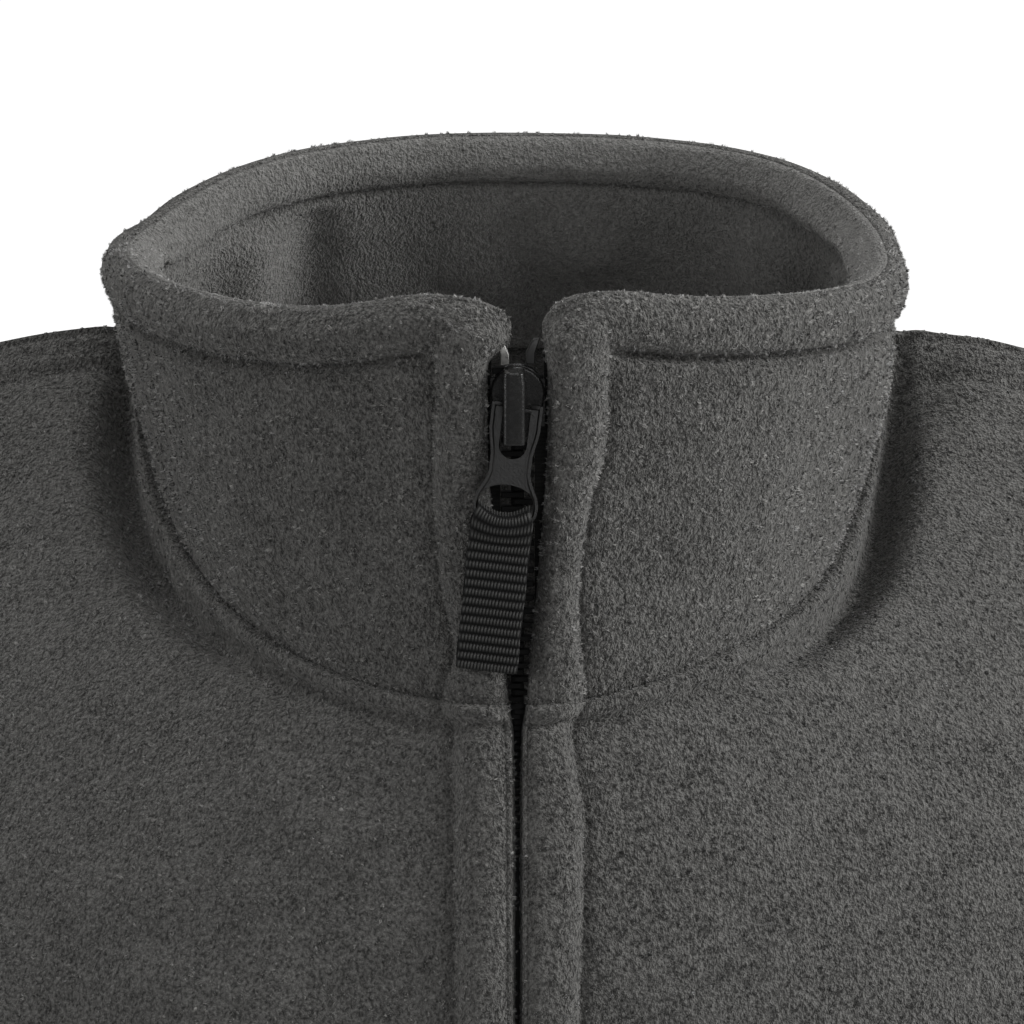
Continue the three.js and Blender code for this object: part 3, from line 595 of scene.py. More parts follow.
# %% [markdown]
# ## Front panels
# A front panel runs from the folded zip edge to the shoulder seam, armhole and side seam.
# Its columns crowd together in the zip fold and its rows crowd together under the collar,
# where the shape changes fastest and where the vest is seen closest.

# %% Sew the front panels
def spread(*spans):
    """Row positions: (start, end, count) spans joined end to end."""
    parts = [np.linspace(start, end, count, endpoint=False) for start, end, count in spans]
    return np.concatenate([*parts, [spans[-1][1]]])


MM_PER_RADIAN = 150
BODY_ROWS = spread((0.001, 0.45, 26), (0.45, 1.1, 22), (1.1, 3.3, 46), (3.3, 4, 14), (4, 4.3, 8),
                   (4.3, 6.7, 30), (6.7, 7, 8), (7, 10.75, 52), (10.75, 11, 9))


def armhole(level, reach):
    share = np.clip((level - 5.5) / 1.5, -1, 1)
    return reach * np.sqrt(1 - share * share)


def side_angle(levels, way):
    """The side edge of a panel: towards the front (-1) or the back (1)."""
    edges = 90 * RAD + way * armhole(levels, 27 if way < 0 else 24) * RAD
    result = []
    for level, edge in zip(levels, edges):
        tries = edge + way * 0.0002 * np.arange(60)
        gone = np.linalg.norm(body_plain(tries, np.full(60, level)) - body_plain(edge, level), axis=-1)
        open_edge = 4 < level < 7
        result.append(edge + way * 0.0004 if open_edge else tries[np.argmax(gone >= 0.008)])
    return np.array(result)


def edge_lift(level, from_edge):
    """Stitched edges stand up a little, with a groove beside them."""
    below = level * NECK_STEP
    strip = 1.0 * ease(0.2, 1.4, below) * ease(6.6, 5.0, below) - 0.9 * bell((below - 6.6) / 1.1)
    crevice = -0.45 * bell(below / 1.2)
    hem = np.where(level > 10.815, 1.0, 0.0) - 0.8 * bell((level - 10.81) / 0.012)
    on_arm = ease(3.9, 4.05, level) * ease(7.05, 6.95, level)
    arm = on_arm * (1.0 * ease(11.5, 9.5, from_edge) - 0.8 * bell((from_edge - 11) / 1.2))
    on_seam = (1 - on_arm) * (level < 4)
    seam = on_seam * (0.8 * ease(7, 5.4, from_edge) - 0.9 * bell((from_edge - 6.6) / 1.2))
    crack = (1 - on_arm) * -1.1 * bell(from_edge / 0.9)
    return strip + crevice + np.maximum(hem, arm) + seam + crack


def fold_thickness(q, plain, rough, size):
    """Thickness across a zip fold, a little uneven."""
    return read(q, FOLD_Q, FOLD_THICK) + ease(1.1, 0.6, q) * rough * lumps(plain, size, 3)


def nap_lumps(point, scale=1.0):
    return scale * (0.30 * lumps(point, 21, 5) + 0.22 * lumps(point, 9, 6))


def front_panel(name, side, node):
    rows = BODY_ROWS
    v = under_neck(rows)
    half, width = zip_half(v, side), fold_width(v, side)
    edge = side_angle(rows, -1)
    share = np.concatenate([np.linspace(0, 0.94, 74)[1:], np.linspace(0.945, 1, 17)])
    bands = {key: column[:, None] for key, column in ring_at(rows).items()}
    fold_angles = angle_at(bands, half[:, None] + FOLD_STEPS * width[:, None])
    start = fold_angles[:, -1:]
    eased = mix(1 - (1 - share) ** 1.5, share, ease(0.5, 4, rows)[:, None])
    angle = np.concatenate([fold_angles, mix(start, edge[:, None], eased)], 1)
    level = np.broadcast_to(rows[:, None], angle.shape)
    x = body_plain(angle, level)[..., 0]
    face = inner_face(x)
    q = np.concatenate([FOLD_STEPS, np.full(len(share), PAST_FOLD)])
    plain = body_plain(side * angle, level)
    thick = fold_thickness(q, plain, 0.45, 26)
    from_edge = (edge[:, None] - angle) * MM_PER_RADIAN
    soft = nap_lumps(plain) * ease(0, 3, from_edge) * ease(0, 0.2, level)
    lift = edge_lift(level, from_edge) * ease(0.02, 0.2, q)
    outer = body_point(side * angle, level, face + thick - (face - LINE) * (q > 0.1) + lift + soft)
    inner = body_point(side * angle, level, face)
    return shell(name, outer, inner, CHARCOAL, node)


front_left = front_panel("fleece_front_left", 1, "front_left")
front_right = front_panel("fleece_front_right", -1, "front_right")

# %% [markdown]
# ## Back panel
# The back is one piece from side seam to side seam. It has no zip fold, so its columns crowd
# together only at its two edges.

# %% Sew the back panel
def back_panel():
    rows = BODY_ROWS
    edge = side_angle(rows, 1)
    share = np.concatenate([np.linspace(0, 0.05, 12), np.linspace(0.05, 1, 62)[1:]])
    eased = mix(share ** 1.15, share, ease(0.5, 4, rows)[:, None])
    half = mix(edge[:, None], math.pi, eased)
    angle = np.concatenate([half, 2 * math.pi - half[:, -2::-1]], 1)
    level = np.broadcast_to(rows[:, None], angle.shape)
    from_edge = (math.pi - np.abs(angle - math.pi) - edge[:, None]) * MM_PER_RADIAN
    plain = body_plain(angle, level)
    soft = nap_lumps(plain) * ease(0, 3, from_edge) * ease(0, 0.2, level)
    outer = body_point(angle, level, LINE + FLEECE + edge_lift(level, from_edge) + soft)
    inner = body_point(angle, level, np.full(angle.shape, LINE))
    return shell("fleece_back", outer, inner, CHARCOAL, "back")


back = back_panel()

# %% [markdown]
# ## Collar
# The collar is two layers seamed along the rim, turned, and stitched again a finger's width
# below the edge, so the rim is a soft roll. The outer layer also carries the zip folds. Its
# wall has shallow dents, one in each row of WAVES: turn, height share, two widths and depth.

# %% Sew the collar
ROLL_DOWN, ROLL_OUT = np.array([
    [-0.75, 1.5], [-0.55, 2.1], [0.1, 3.0], [1.4, 4.0], [4.0, 5.1], [6.6, 5.0], [8.8, 4.0],
    [10.0, 0.9], [10.6, 0.6], [11.5, 2.6], [12.6, 3.1], [14, 3.2],
]).T
ROLL = 14
WAVES = [
    [-17, 0.45, 5, 0.5, -1.0], [-38, 0.35, 9, 0.35, 0.9], [-62, 0.5, 9, 0.45, -1.1],
    [17, 0.30, 6, 0.3, -0.8], [30, 0.62, 9, 0.22, 0.8], [46, 0.40, 8, 0.4, -0.9],
    [66, 0.55, 9, 0.4, 0.9], [84, 0.45, 7, 0.5, -1.0], [-86, 0.4, 7, 0.5, 0.8],
    [128, 0.5, 12, 0.4, -1.3], [160, 0.4, 12, 0.4, 1.1], [-140, 0.45, 12, 0.4, -1.2],
]
WAVE_DEPTH, BUCKLE_DEPTH = 1.5, 1.25


def corner_drop(q, v, tall):
    """How far the rim drops at its rounded corners beside the zip."""
    return 5.2 * (1 - np.sqrt(1 - np.clip(1 - q / 0.72, 0, 1) ** 2)) * ease(tall - 15, tall, v)


def closed_at_rim(rows, tall, angle, drop):
    """Adds a last row, where the two layers meet in the seam along the rim."""
    seam = collar_point(angle, tall + 0.78 - drop, np.full(tall.shape, 0.75))
    return np.concatenate([rows, seam], 1)


def dents(rows, gain, turn, share):
    """Sum of soft dents, given as rows of turn, height share, widths and depth."""
    total = np.zeros(np.broadcast(turn, share).shape)
    for where, high_at, wide, high, depth in rows:
        total += gain * depth * bell((turn - where) / wide) * bell((share - high_at) / high)
    return total


def collar_out(q, v, height, plain):
    seam = -0.45 * bell(v / 1.3)
    puff = 0.35 * lumps(plain, 17, 8) * bell((height - v - 4.5) / 4)
    wall = read(height - v, ROLL_DOWN, ROLL_OUT) + seam + puff
    round_top = ease(height + 1, height - 6, v)
    thick = fold_thickness(q, plain, 0.4, 24)
    fold = LINE + thick * mix(0.3, 1, round_top) + seam
    edge = mix(wall, fold, ease(1.35, 0.95, q))
    merged = ease(16, 11, height - v) * ease(0.1, 0.6, q)
    return mix(edge, np.maximum(edge, wall), merged)


def collar_rows(height):
    low = [0.03, 0.5, 1.1, 2.0, 3.2, 5.0]
    down = np.concatenate([np.linspace(13.2, 7.0, 15), np.linspace(6.3, 0.6, 13), [0.2, -0.15, -0.5, -0.7]])
    return np.concatenate([low, np.linspace(7.5, height - ROLL, 30), height - down])


def collar_side(side):
    share = np.concatenate([np.zeros(len(FOLD_STEPS)), np.linspace(0, 1, 111)[1:]])[:, None]
    q = np.concatenate([FOLD_STEPS, np.full(110, PAST_FOLD)])[:, None]
    middle = 0.2 + 2.94 * share
    height = collar_height(middle)
    rows = np.stack([collar_rows(h) for h in height[:, 0]])
    x = zip_half(rows, side) + np.minimum(q, FOLD_STEPS[-1]) * fold_width(rows, side)
    start = collar_angle_at(rows, x)
    angle = mix(start, math.pi, share)
    tall = collar_height(angle)
    low_rows = rows * (tall - ROLL) / (height - ROLL)
    v = np.where(rows > height - ROLL, tall - (height - rows), low_rows)
    drop = corner_drop(q, v, tall)
    plain = collar_plain(side * angle, v)
    face = inner_face(np.where(share > 0, PAST_FOLD, x))
    body = nap_lumps(plain, 0.8) * ease(0, 8, v) * ease(tall - 8, tall - 14, v)
    wave = dents(WAVES, WAVE_DEPTH, turn_of(side * angle), v / tall)
    wave = wave * ease(0, 7, v) * ease(tall - 9, tall - 15, v) * ease(1.2, 1.8, q)
    out = collar_out(q, v, tall, plain) + body + wave
    outer = collar_point(side * angle, v - drop, out)
    inner = collar_point(side * angle, np.minimum(v, tall - 1.2) - drop, np.minimum(face, out - 0.15))
    outer = closed_at_rim(outer, tall[:, -1:], side * angle[:, -1:], drop[:, -1:])
    return outer, np.concatenate([inner, inner[:, -1:]], 1)


def join_sides(name, side_grids, finish, node):
    """Joins the two halves of a collar layer at the back of the neck."""
    halves = [side_grids(side) for side in (-1, 1)]
    outer, inner = (np.concatenate([left, right[-2::-1]]) for left, right in zip(*halves))
    return shell(name, outer, inner, finish, node)


collar = join_sides("fleece_collar", collar_side, CHARCOAL, "collar")

# %% [markdown]
# ## Collar facing
# The inner layer is a little too long for the curve it lies in, so it buckles into soft
# folds. Rows give each one: turn round the neck, height share, widths and height.

# %% Sew the facing
IN_DOWN, IN_OUT = np.array([
    [-0.8, 0.0], [-0.65, -0.7], [-0.2, -1.5], [1.4, -3.2], [3.8, -4.5], [6, -4.3], [7.8, -3.4],
    [8.8, -2.2], [9.4, -2.15], [10.8, -3.1], [14, -3.2],
]).T
BUCKLES = [
    [-126, 0.45, 9, 0.5, 4.4], [-142, 0.5, 5, 0.5, -2.0], [-108, 0.5, 9, 0.5, 1.2],
    [-157, 0.22, 9, 0.16, 3.0], [-175, 0.38, 10, 0.17, 3.2], [170, 0.52, 10, 0.16, 3.0],
    [152, 0.2, 10, 0.3, -1.0], [128, 0.42, 13, 0.36, 5.2], [98, 0.5, 9, 0.5, 2.4],
    [-84, 0.5, 8, 0.5, 2.2], [-52, 0.45, 10, 0.4, 1.8], [60, 0.45, 11, 0.4, 2.0],
]


def facing_side(side):
    share = np.concatenate([[0, 0.004, 0.01, 0.018, 0.03], np.linspace(0.045, 1, 100)])[:, None]
    fold = mix(0.55, 1, ease(0, 0.03, share))
    start = collar_angle_at(np.array(36.0), np.array(5.4))
    angle = mix(start, math.pi, share)
    tall = collar_height(angle)
    rows = [np.full(tall.shape, 0.5)]
    rows += [part * (tall - ROLL) for part in np.linspace(0.05, 1, 26)]
    roll = np.concatenate([np.linspace(13.2, 7, 15), np.linspace(6.2, -0.4, 14), [-0.65, -0.8]])
    rows += [tall - down for down in roll]
    v = np.concatenate(rows, 1)
    down = tall - v
    turn = turn_of(side * angle)
    back_face = np.where(down > 1.3, -LINE, mix(0.45, -LINE, ease(-0.7, 1.3, down)))
    out = read(down, IN_DOWN, IN_OUT)
    buckle = dents(BUCKLES, BUCKLE_DEPTH, turn, v / tall) * ease(0.5, 9, v) * ease(9.6, 15, down)
    plain = collar_plain(side * angle, v)
    puff = 0.3 * lumps(plain, 15, 12) * bell((down - 4.5) / 4)
    puff = puff + nap_lumps(plain, 0.6) * ease(9, 14, down)
    swell = 1 + 0.5 * bell((np.abs(turn) - 96) / 34) * ease(9.2, 5, down) * ease(-0.2, 1.4, down)
    thin = np.where(down < 0, 1, mix(1, fold, ease(4, 0, down)))
    inward = np.minimum(out * swell * thin, back_face - 0.45) - buckle + puff
    near_zip = np.where(angle < 1, (collar_plain(angle, tall)[..., 0] - 4.4) / 10, 1)
    drop = corner_drop(near_zip, v, tall)
    outer = collar_point(side * angle, np.minimum(v, tall - 0.1) - drop, back_face)
    inner = collar_point(side * angle, v - drop, np.minimum(inward, back_face - 0.4))
    inner = closed_at_rim(inner, tall, side * angle, drop[:, -1:])
    return np.concatenate([outer, outer[:, -1:]], 1), inner


# The facing wears the lighter copy of the fleece: painted light for the shade inside the collar.
facing = join_sides("fleece_facing", facing_side, INSIDE_PAINTED_LIGHT, "collar_facing")

# %% [markdown]
# ## Nap
# Bump alone can't give the soft broken outline that brushed fibres have, so the part of the
# vest that is seen closest grows real ones. Each tuft is a ring of fine triangles whose tips
# lean together, with a twist. Their colour holds painted shade: dark at the root and lighter
# at the tip and where the pile stands higher, for the little light that gets in between the
# fibres, with random variation from fibre to fibre. The nap thins out down the chest.

# %% Grow the nap
def nap_finish(name, dark, light):
    nap = Finish(name, Roughness=0.9, Specular_IOR_Level=0.1, Sheen_Weight=0.25,
                 Sheen_Roughness=0.5)
    # The attribute holds the painted shade of the pile, with random variation.
    tone = nap.add("ShaderNodeAttribute", output="Fac", attribute_name="tone")
    patches = nap.noise(nap.place(), 95, 2.0, 0.5)
    nap.set("Base Color", nap.tint((tone + patches * 0.5 - 0.25).clear(), dark, light))
    return nap


NAP = nap_finish("charcoal_nap", (0.016, 0.0157, 0.015), (0.33, 0.324, 0.31))
# The nap inside the collar is painted lighter as well: painted light for the shade there.
NAP_INSIDE_PAINTED_LIGHT = nap_finish("charcoal_nap_inside", (0.026, 0.0255, 0.0245), (0.5, 0.49, 0.47))
FIBRES = 14
TUFT = 0.42
STRAYS = 0.035


def grid_spots(grid, number, thickness, random):
    """Random places on a grid of points, more where the nap is thick, with their normals."""
    parts = grid[:-1, :-1], grid[:-1, 1:], grid[1:, 1:], grid[1:, :-1]
    corners = [part.reshape(-1, 3) for part in parts]
    face = np.cross(corners[2] - corners[0], corners[3] - corners[1])
    weight = np.linalg.norm(face, axis=-1) * thickness(sum(corners) / 4)
    chosen = np.sort(random.choice(len(weight), number, p=weight / weight.sum()))
    a, b, c, d = (corner[chosen] for corner in corners)
    u, w = random.random((2, number, 1))
    return mix(mix(a, b, u), mix(d, c, u), w), unit(face[chosen])


def curls(point):
    """Height of the curly pile from 0 to 1, and the way it rises."""
    height, slope = np.zeros(point.shape[:-1]), np.zeros(point.shape)
    for phase, way, rate in crossing_waves(point, 40, 12, 1.1, 2.9):
        height += np.sin(phase)
        slope += np.cos(phase)[..., None] * way * rate
    return np.clip(0.5 + height / 6.5, 0, 1)[..., None], slope / 12


def fibre_mesh(name, points, facing, tone):
    """Single triangles, each with its own normal, painted shade with random variation, and cell of the bake
    map.
    """
    count = len(points)
    mesh = bpy.data.meshes.new(name)
    mesh.vertices.add(count * 3)
    mesh.vertices.foreach_set("co", points.ravel())
    mesh.loops.add(count * 3)
    mesh.loops.foreach_set("vertex_index", np.arange(count * 3))
    mesh.polygons.add(count)
    mesh.polygons.foreach_set("loop_start", np.arange(count) * 3)
    mesh.update(calc_edges=True)
    cells = math.ceil(math.sqrt(count))
    row, column = np.divmod(np.arange(count), cells)
    cell = np.stack([column, row], -1)[:, None] + np.array([(0.1, 0.1), (0.9, 0.1), (0.1, 0.9)])
    mesh.uv_layers.new(name="OFBake").data.foreach_set("uv", (cell / cells).ravel())
    mesh.normals_split_custom_set_from_vertices(np.repeat(facing, 3, axis=0))
    mesh.attributes.new("tone", "FLOAT", "POINT").data.foreach_set("value", tone.ravel())
    return mesh


def grow_nap(name, grid, outward, tufts, thickness, seed, finish=NAP, crisp=1.0):
    random = np.random.default_rng(seed)
    tuft, fibre = (tufts, 1, 1), (tufts, FIBRES, 1)

    def scatter(shape):
        return random.normal(0, 1, (*shape[:2], 3))

    centre, normal = grid_spots(grid, tufts, thickness, random)
    normal = (outward * normal)[:, None]
    centre = centre[:, None]
    first = unit(np.cross(normal, (0.3, 0.2, 1.0)))
    second = np.cross(normal, first)
    around = random.uniform(0, 2 * math.pi, fibre)
    reach = TUFT * np.sqrt(random.random(fibre)) * random.uniform(0.7, 1.3, tuft)
    turned = around + random.normal(0, 0.9, tuft)
    root = centre + reach * (first * np.cos(around) + second * np.sin(around))
    curl, slope = curls(root)
    lean = 0.16 * scatter(tuft) + 0.14 * scatter(fibre) - 0.1 * slope
    lean = lean - normal * (lean * normal).sum(-1, keepdims=True)
    high = (0.08 + 0.6 * curl) * random.uniform(0.7, 1.15, fibre) * mix(0.45, 1, crisp)
    stray = random.random(fibre) < STRAYS
    high = np.where(stray, high + random.uniform(0.15, 0.85, fibre), high)
    drift = np.where(stray, 1.4, 0.7) * reach
    tip = centre + drift * (first * np.cos(turned) + second * np.sin(turned)) + lean + high * normal
    root = root - 0.15 * normal
    side = unit(np.cross(tip - root, normal + 0.3 * scatter(fibre)))
    half = np.where(stray, 0.03, random.uniform(0.06, 0.12, fibre))
    points = np.stack([root - side * half, root + side * half, tip], 2).reshape(-1, 3, 3) * MM
    rough = 0.35 * scatter(tuft) + 0.25 * scatter(fibre) - 0.65 * slope
    facing = unit(normal + crisp * rough).reshape(-1, 3)
    # Painted shade: the root is darkest, low pile darker and high pile lighter; each fibre also varies at
    # random.
    tone = (0.02 + 2.1 * curl ** 2) * random.uniform(0.65, 1.25, fibre)
    tone = np.where(stray, 0.4 * tone, np.minimum(tone, 0.95))
    tone = mix(0.45, tone, crisp) * (0.2, 0.2, 1)
    piece = add_piece(fibre_mesh(name, points, facing, tone), finish)
    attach(piece, "vest")
    print(name, "fibres:", len(points))


grow_nap("nap_collar", GRIDS["fleece_collar"][0], 1, 13400,
         lambda at: mix(0.25, 1, ease(40, 0, at[:, 1])), 21)
grow_nap("nap_facing", GRIDS["fleece_facing"][1], -1, 10500,
         lambda at: 1.0 + 0 * at[:, 0], 22, NAP_INSIDE_PAINTED_LIGHT, 0.15)
for half_name, seed in (("front_left", 23), ("front_right", 24)):
    grow_nap("nap_" + half_name, GRIDS["fleece_" + half_name][0], 1, 13400,
             lambda at: ease(-190, -120, at[:, 2]), seed)
grow_nap("nap_back", GRIDS["fleece_back"][0], 1, 7000, lambda at: ease(-100, -30, at[:, 2]), 25)

# %% [markdown]
# ## Working with modelling operators
# Hard pieces start as a primitive and are shaped in edit mode, as by hand. They are drawn
# flat: x across the zip, y up it and z out of it, in millimetres from the neck seam. A last
# move stands them on the front of the collar, inside the mesh, so each object stays at the
# origin.

# %% Make the helpers for hard pieces
foot = body_plain(0.0, 0.0)
up_zip = unit(rim_point(0.0) - foot)
out_of_zip = np.cross((1, 0, 0), up_zip)
STAND = Matrix.Translation(Vector(foot * MM)) @ Matrix((
    (1, up_zip[0], out_of_zip[0], 0), (0, up_zip[1], out_of_zip[1], 0),
    (0, up_zip[2], out_of_zip[2], 0), (0, 0, 0, 1)))
PULL_TILT = 10.5
PULL_LEAN = Matrix.Rotation(-7 * RAD, 4, "Z") @ Matrix.Rotation(-PULL_TILT * RAD, 4, "X")
HANG = STAND @ Matrix.Translation((-0.1 * MM, 54.5 * MM, 5 * MM)) @ PULL_LEAN


def leave_edit(*chosen):
    """Closes edit mode and selects only the chosen objects."""
    if bpy.context.object and bpy.context.object.mode == "EDIT":
        bpy.ops.object.mode_set(mode="OBJECT")
    bpy.ops.object.select_all(action="DESELECT")
    for piece in chosen:
        piece.select_set(True)
    if chosen:
        bpy.context.view_layer.objects.active = chosen[0]


def begin(add, **settings):
    """Adds a primitive and opens it for editing."""
    leave_edit()
    add(**settings)
    bpy.ops.object.mode_set(mode="EDIT")
    bpy.ops.mesh.select_mode(type="FACE")
    return bpy.context.object


def box_at(x, y, z, wide, tall, deep):
    """A block given by its middle and its size."""
    piece = begin(bpy.ops.mesh.primitive_cube_add, size=MM, location=(0, 0, 0))
    bpy.ops.transform.resize(value=(wide, tall, deep))
    bpy.ops.transform.translate(value=(x * MM, y * MM, z * MM))
    return piece


def disc_at(y, z, radius, deep, corners, size=(1, 1, 1)):
    """A round block that faces out, given by its middle and its size."""
    piece = begin(bpy.ops.mesh.primitive_cylinder_add, vertices=corners, radius=radius * MM,
                  depth=deep * MM, location=(0, 0, 0))
    bpy.ops.transform.resize(value=size)
    bpy.ops.transform.translate(value=(0, y * MM, z * MM))
    return piece


def pick(piece, test):
    """Selects the faces whose centre (in mm) and normal pass a test."""
    bpy.ops.mesh.select_all(action="DESELECT")
    bpy.ops.object.mode_set(mode="OBJECT")
    for face in piece.data.polygons:
        face.select = bool(test(face.center / MM, face.normal))
    bpy.ops.object.mode_set(mode="EDIT")


def pull_out(x=0.0, y=0.0, z=0.0, size=None):
    """Extrudes the picked faces, then scales the new ones about their middle."""
    move = {"value": (x * MM, y * MM, z * MM)}
    bpy.ops.mesh.extrude_region_move(TRANSFORM_OT_translate=move)
    if size:
        bpy.ops.transform.resize(value=size)


def change(piece, kind, **settings):
    """Adds a modifier and applies it."""
    leave_edit(piece)
    modifier = piece.modifiers.new("step", kind)
    for label, setting in settings.items():
        setattr(modifier, label, setting)
    bpy.ops.object.modifier_apply(modifier=modifier.name)


def round_edges(piece, width, segments=3, angle=35):
    """Rounds every edge sharper than an angle."""
    change(piece, "BEVEL", width=width * MM, segments=segments, limit_method="ANGLE",
           angle_limit=angle * RAD)


def cut_away(piece, *cutters):
    for cutter in cutters:
        change(piece, "BOOLEAN", operation="DIFFERENCE", object=cutter, solver="EXACT")
        bpy.data.objects.remove(cutter)


def join_as(name, *parts):
    """Joins parts into one object with a name."""
    leave_edit(*parts)
    bpy.ops.object.join()
    parts[0].name = parts[0].data.name = name
    return parts[0]


def stand(piece, matrix, finish, body, slot_name, *nodes):
    leave_edit(piece)
    bpy.ops.object.shade_smooth_by_angle(angle=40 * RAD)
    piece.data.transform(matrix)
    change(piece, "WEIGHTED_NORMAL", keep_sharp=True)
    paint(piece, finish)
    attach(piece, body)
    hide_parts(*nodes)
    print(piece.name, "faces:", len(piece.data.polygons))


print("zip stands at", [round(float(x), 1) for x in foot])

# %% [markdown]
# ## Enamel, steel and tape
# The slider and the pull tab are die-cast zinc under black enamel: smooth, a little worn,
# with a soft gloss that shows their rounded edges. One of the stops is bare metal.

# %% Mix the finishes of the zip
def enamel_finish(name, dark, light, rough, gloss=0.4):
    enamel = Finish(name, Specular_IOR_Level=gloss)
    spots = enamel.noise(enamel.place(), 900, 3.0, 0.6)
    enamel.set("Base Color", enamel.tint(spots, dark, light))
    enamel.set("Roughness", spots * 0.2 + rough)
    enamel.bump(enamel.noise(enamel.place(), 2600, 2.0, 0.5), 0.00004)
    return enamel


BLACKS = (0.004, 0.004, 0.004), (0.011, 0.0108, 0.0104)
ENAMEL = enamel_finish("black_enamel", *BLACKS, 0.16)
PULL = enamel_finish("pull_enamel", *BLACKS, 0.2, 0.2)
DARK_METAL = enamel_finish("dark_metal", (0.008, 0.008, 0.008), (0.02, 0.02, 0.019), 0.28)
BRIGHT = Finish("bright_metal", Metallic=1.0)
brushed = BRIGHT.noise(BRIGHT.place(scale=(1, 0.2, 1)), 2400, 2.0, 0.5)
BRIGHT.set("Base Color", BRIGHT.tint(brushed, (0.12, 0.12, 0.115), (0.3, 0.295, 0.285)))
BRIGHT.set("Roughness", brushed * 0.2 + 0.22)

TAPE = Finish("woven_tape", Sheen_Weight=0.02, Sheen_Roughness=0.4, Specular_IOR_Level=0.15)
TAPE_PITCH = 0.0007
height = TAPE.add("ShaderNodeSeparateXYZ", {"Vector": TAPE.place()}, "Z")
rows = (height * (6.2832 / TAPE_PITCH)).wave() * 0.5 + 0.5
specks = TAPE.noise(TAPE.place(), 3000, 2.0, 0.6)
woven = (rows * 0.5 + specks * 0.7 - 0.1).clear()
TAPE.set("Base Color", TAPE.tint(woven, (0.003, 0.003, 0.003), (0.010, 0.010, 0.0095)))
TAPE.set("Roughness", specks * 0.2 + 0.7)
TAPE.bump(rows * 0.6 + specks * 0.4, 0.00015)
PLASTIC = enamel_finish("black_plastic", (0.003, 0.003, 0.003), (0.008, 0.008, 0.008), 0.5, 0.12)
for label in ("zip_tape_left", "zip_tape_right"):
    paint(bpy.data.objects[label], TAPE)
paint(bpy.data.objects["zip_box"], PLASTIC)
zip_finishes = ENAMEL, PULL, DARK_METAL, BRIGHT, TAPE, PLASTIC
print("finishes of the zip:", [finish.material.name for finish in zip_finishes])

# %% [markdown]
# ## Slider
# The slider is two shield-shaped plates joined by a wedge, with a bridge across the front
# plate that carries the pull. Each plate is a disc whose lower half is drawn down and
# narrowed. The bridge is a block with a leg extruded at each end and a crown along its
# front, narrower at the top, where the pull swings past it.

# %% Shape the slider
def slider_plate(z):
    plate = disc_at(57.1, z, 4.9, 1.4, 48)
    bpy.ops.mesh.select_mode(type="VERT")
    bpy.ops.mesh.select_all(action="DESELECT")
    bpy.ops.object.mode_set(mode="OBJECT")
    for corner in plate.data.vertices:
        corner.select = corner.co.y < 57 * MM
    bpy.ops.object.mode_set(mode="EDIT")
    bpy.ops.transform.translate(value=(0, -3.7 * MM, 0))
    bpy.ops.transform.resize(value=(0.86, 1, 1))
    round_edges(plate, 0.5, 4)
    return plate


def slider_bridge():
    middle = -0.6
    bridge = box_at(middle, 55.2, 7.3, 3.9, 13.2, 1.9)
    bpy.ops.mesh.subdivide(number_cuts=5)
    for low, high in ((58.6, 62), (48, 51)):
        pick(bridge, lambda at, out: out.z < -0.9 and low < at.y < high)
        pull_out(z=-4.2)
    pick(bridge, lambda at, out: out.y > 0.9 and at.z > 6)
    bpy.ops.transform.resize(value=(0.9, 1, 1))
    bpy.ops.transform.translate(value=(-0.12 * MM, -0.12 * MM, 0))
    pick(bridge, lambda at, out: out.z > 0.9 and abs(at.x - middle) < 1)
    bpy.ops.transform.translate(value=(0, 0, 0.45 * MM))
    round_edges(bridge, 0.75, 5, 50)
    return bridge


plates = [slider_plate(2.2), slider_plate(-2.2)]
wedge = box_at(0, 58.2, 0, 1.6, 4.4, 3.4)
flanges = [box_at(side * 4.45, 55.4, z, 0.8, 8.6, 1.0) for side in (-1, 1) for z in (1.3, -1.3)]
slider = join_as("slider", slider_bridge(), wedge, *plates, *flanges)
stand(slider, STAND, ENAMEL, "vest", "slider_metal", "zip_slider")

# %% [markdown]
# ## Pull tab
# The tab grows from a block: its lower end is extruded step by step, each step longer or
# shorter and wider or narrower than the last. Two insets leave a raised border. Cutters open
# the slot for the bridge and the oval eye for the webbing. It is plain, with no lettering.

# %% Shape the pull tab
TAB_STEPS = (
    (1.6, 0.95), (1.4, 0.93), (1.6, 0.93), (3.2, 1.0), (1.4, 1.1), (1.3, 1.16), (1.3, 1.14),
    (1.2, 1.06), (1.2, 1.0), (1.0, 0.97), (0.9, 0.9), (0.7, 0.82),
)
tab = box_at(0, -1.2, 0, 9.1, 4.6, 1.5)
pick(tab, lambda at, out: out.y < -0.9)
for step, ratio in TAB_STEPS:
    pull_out(y=-step, size=(ratio, 1, 1))
pick(tab, lambda at, out: out.z > 0.9)
bpy.ops.mesh.inset(thickness=0.5 * MM, depth=0)
bpy.ops.mesh.inset(thickness=0.25 * MM, depth=-0.35 * MM)
slot_cut = box_at(0, -2, 0, 5, 8, 6)
slot_end = disc_at(-6.3, 0, 2.5, 6, 40)
eye = disc_at(-16.4, 0, 1, 6, 48, size=(4.9, 3.0, 1))
cut_away(tab, slot_cut, slot_end, eye)
round_edges(tab, 0.22, 3, 30)
pin = disc_at(0, 0, 0.45, 5.4, 20)
bpy.ops.transform.rotate(value=math.pi / 2, orient_axis="Y", center_override=(0, 0, 0))
tab = join_as("pull_tab", tab, pin)
stand(tab, HANG, PULL, "zip_pull", "slider_metal", "zip_pull")

# %% [markdown]
# ## Top stops
# A small metal clip ends each row of teeth: a block, narrowed at the top and leaning out.

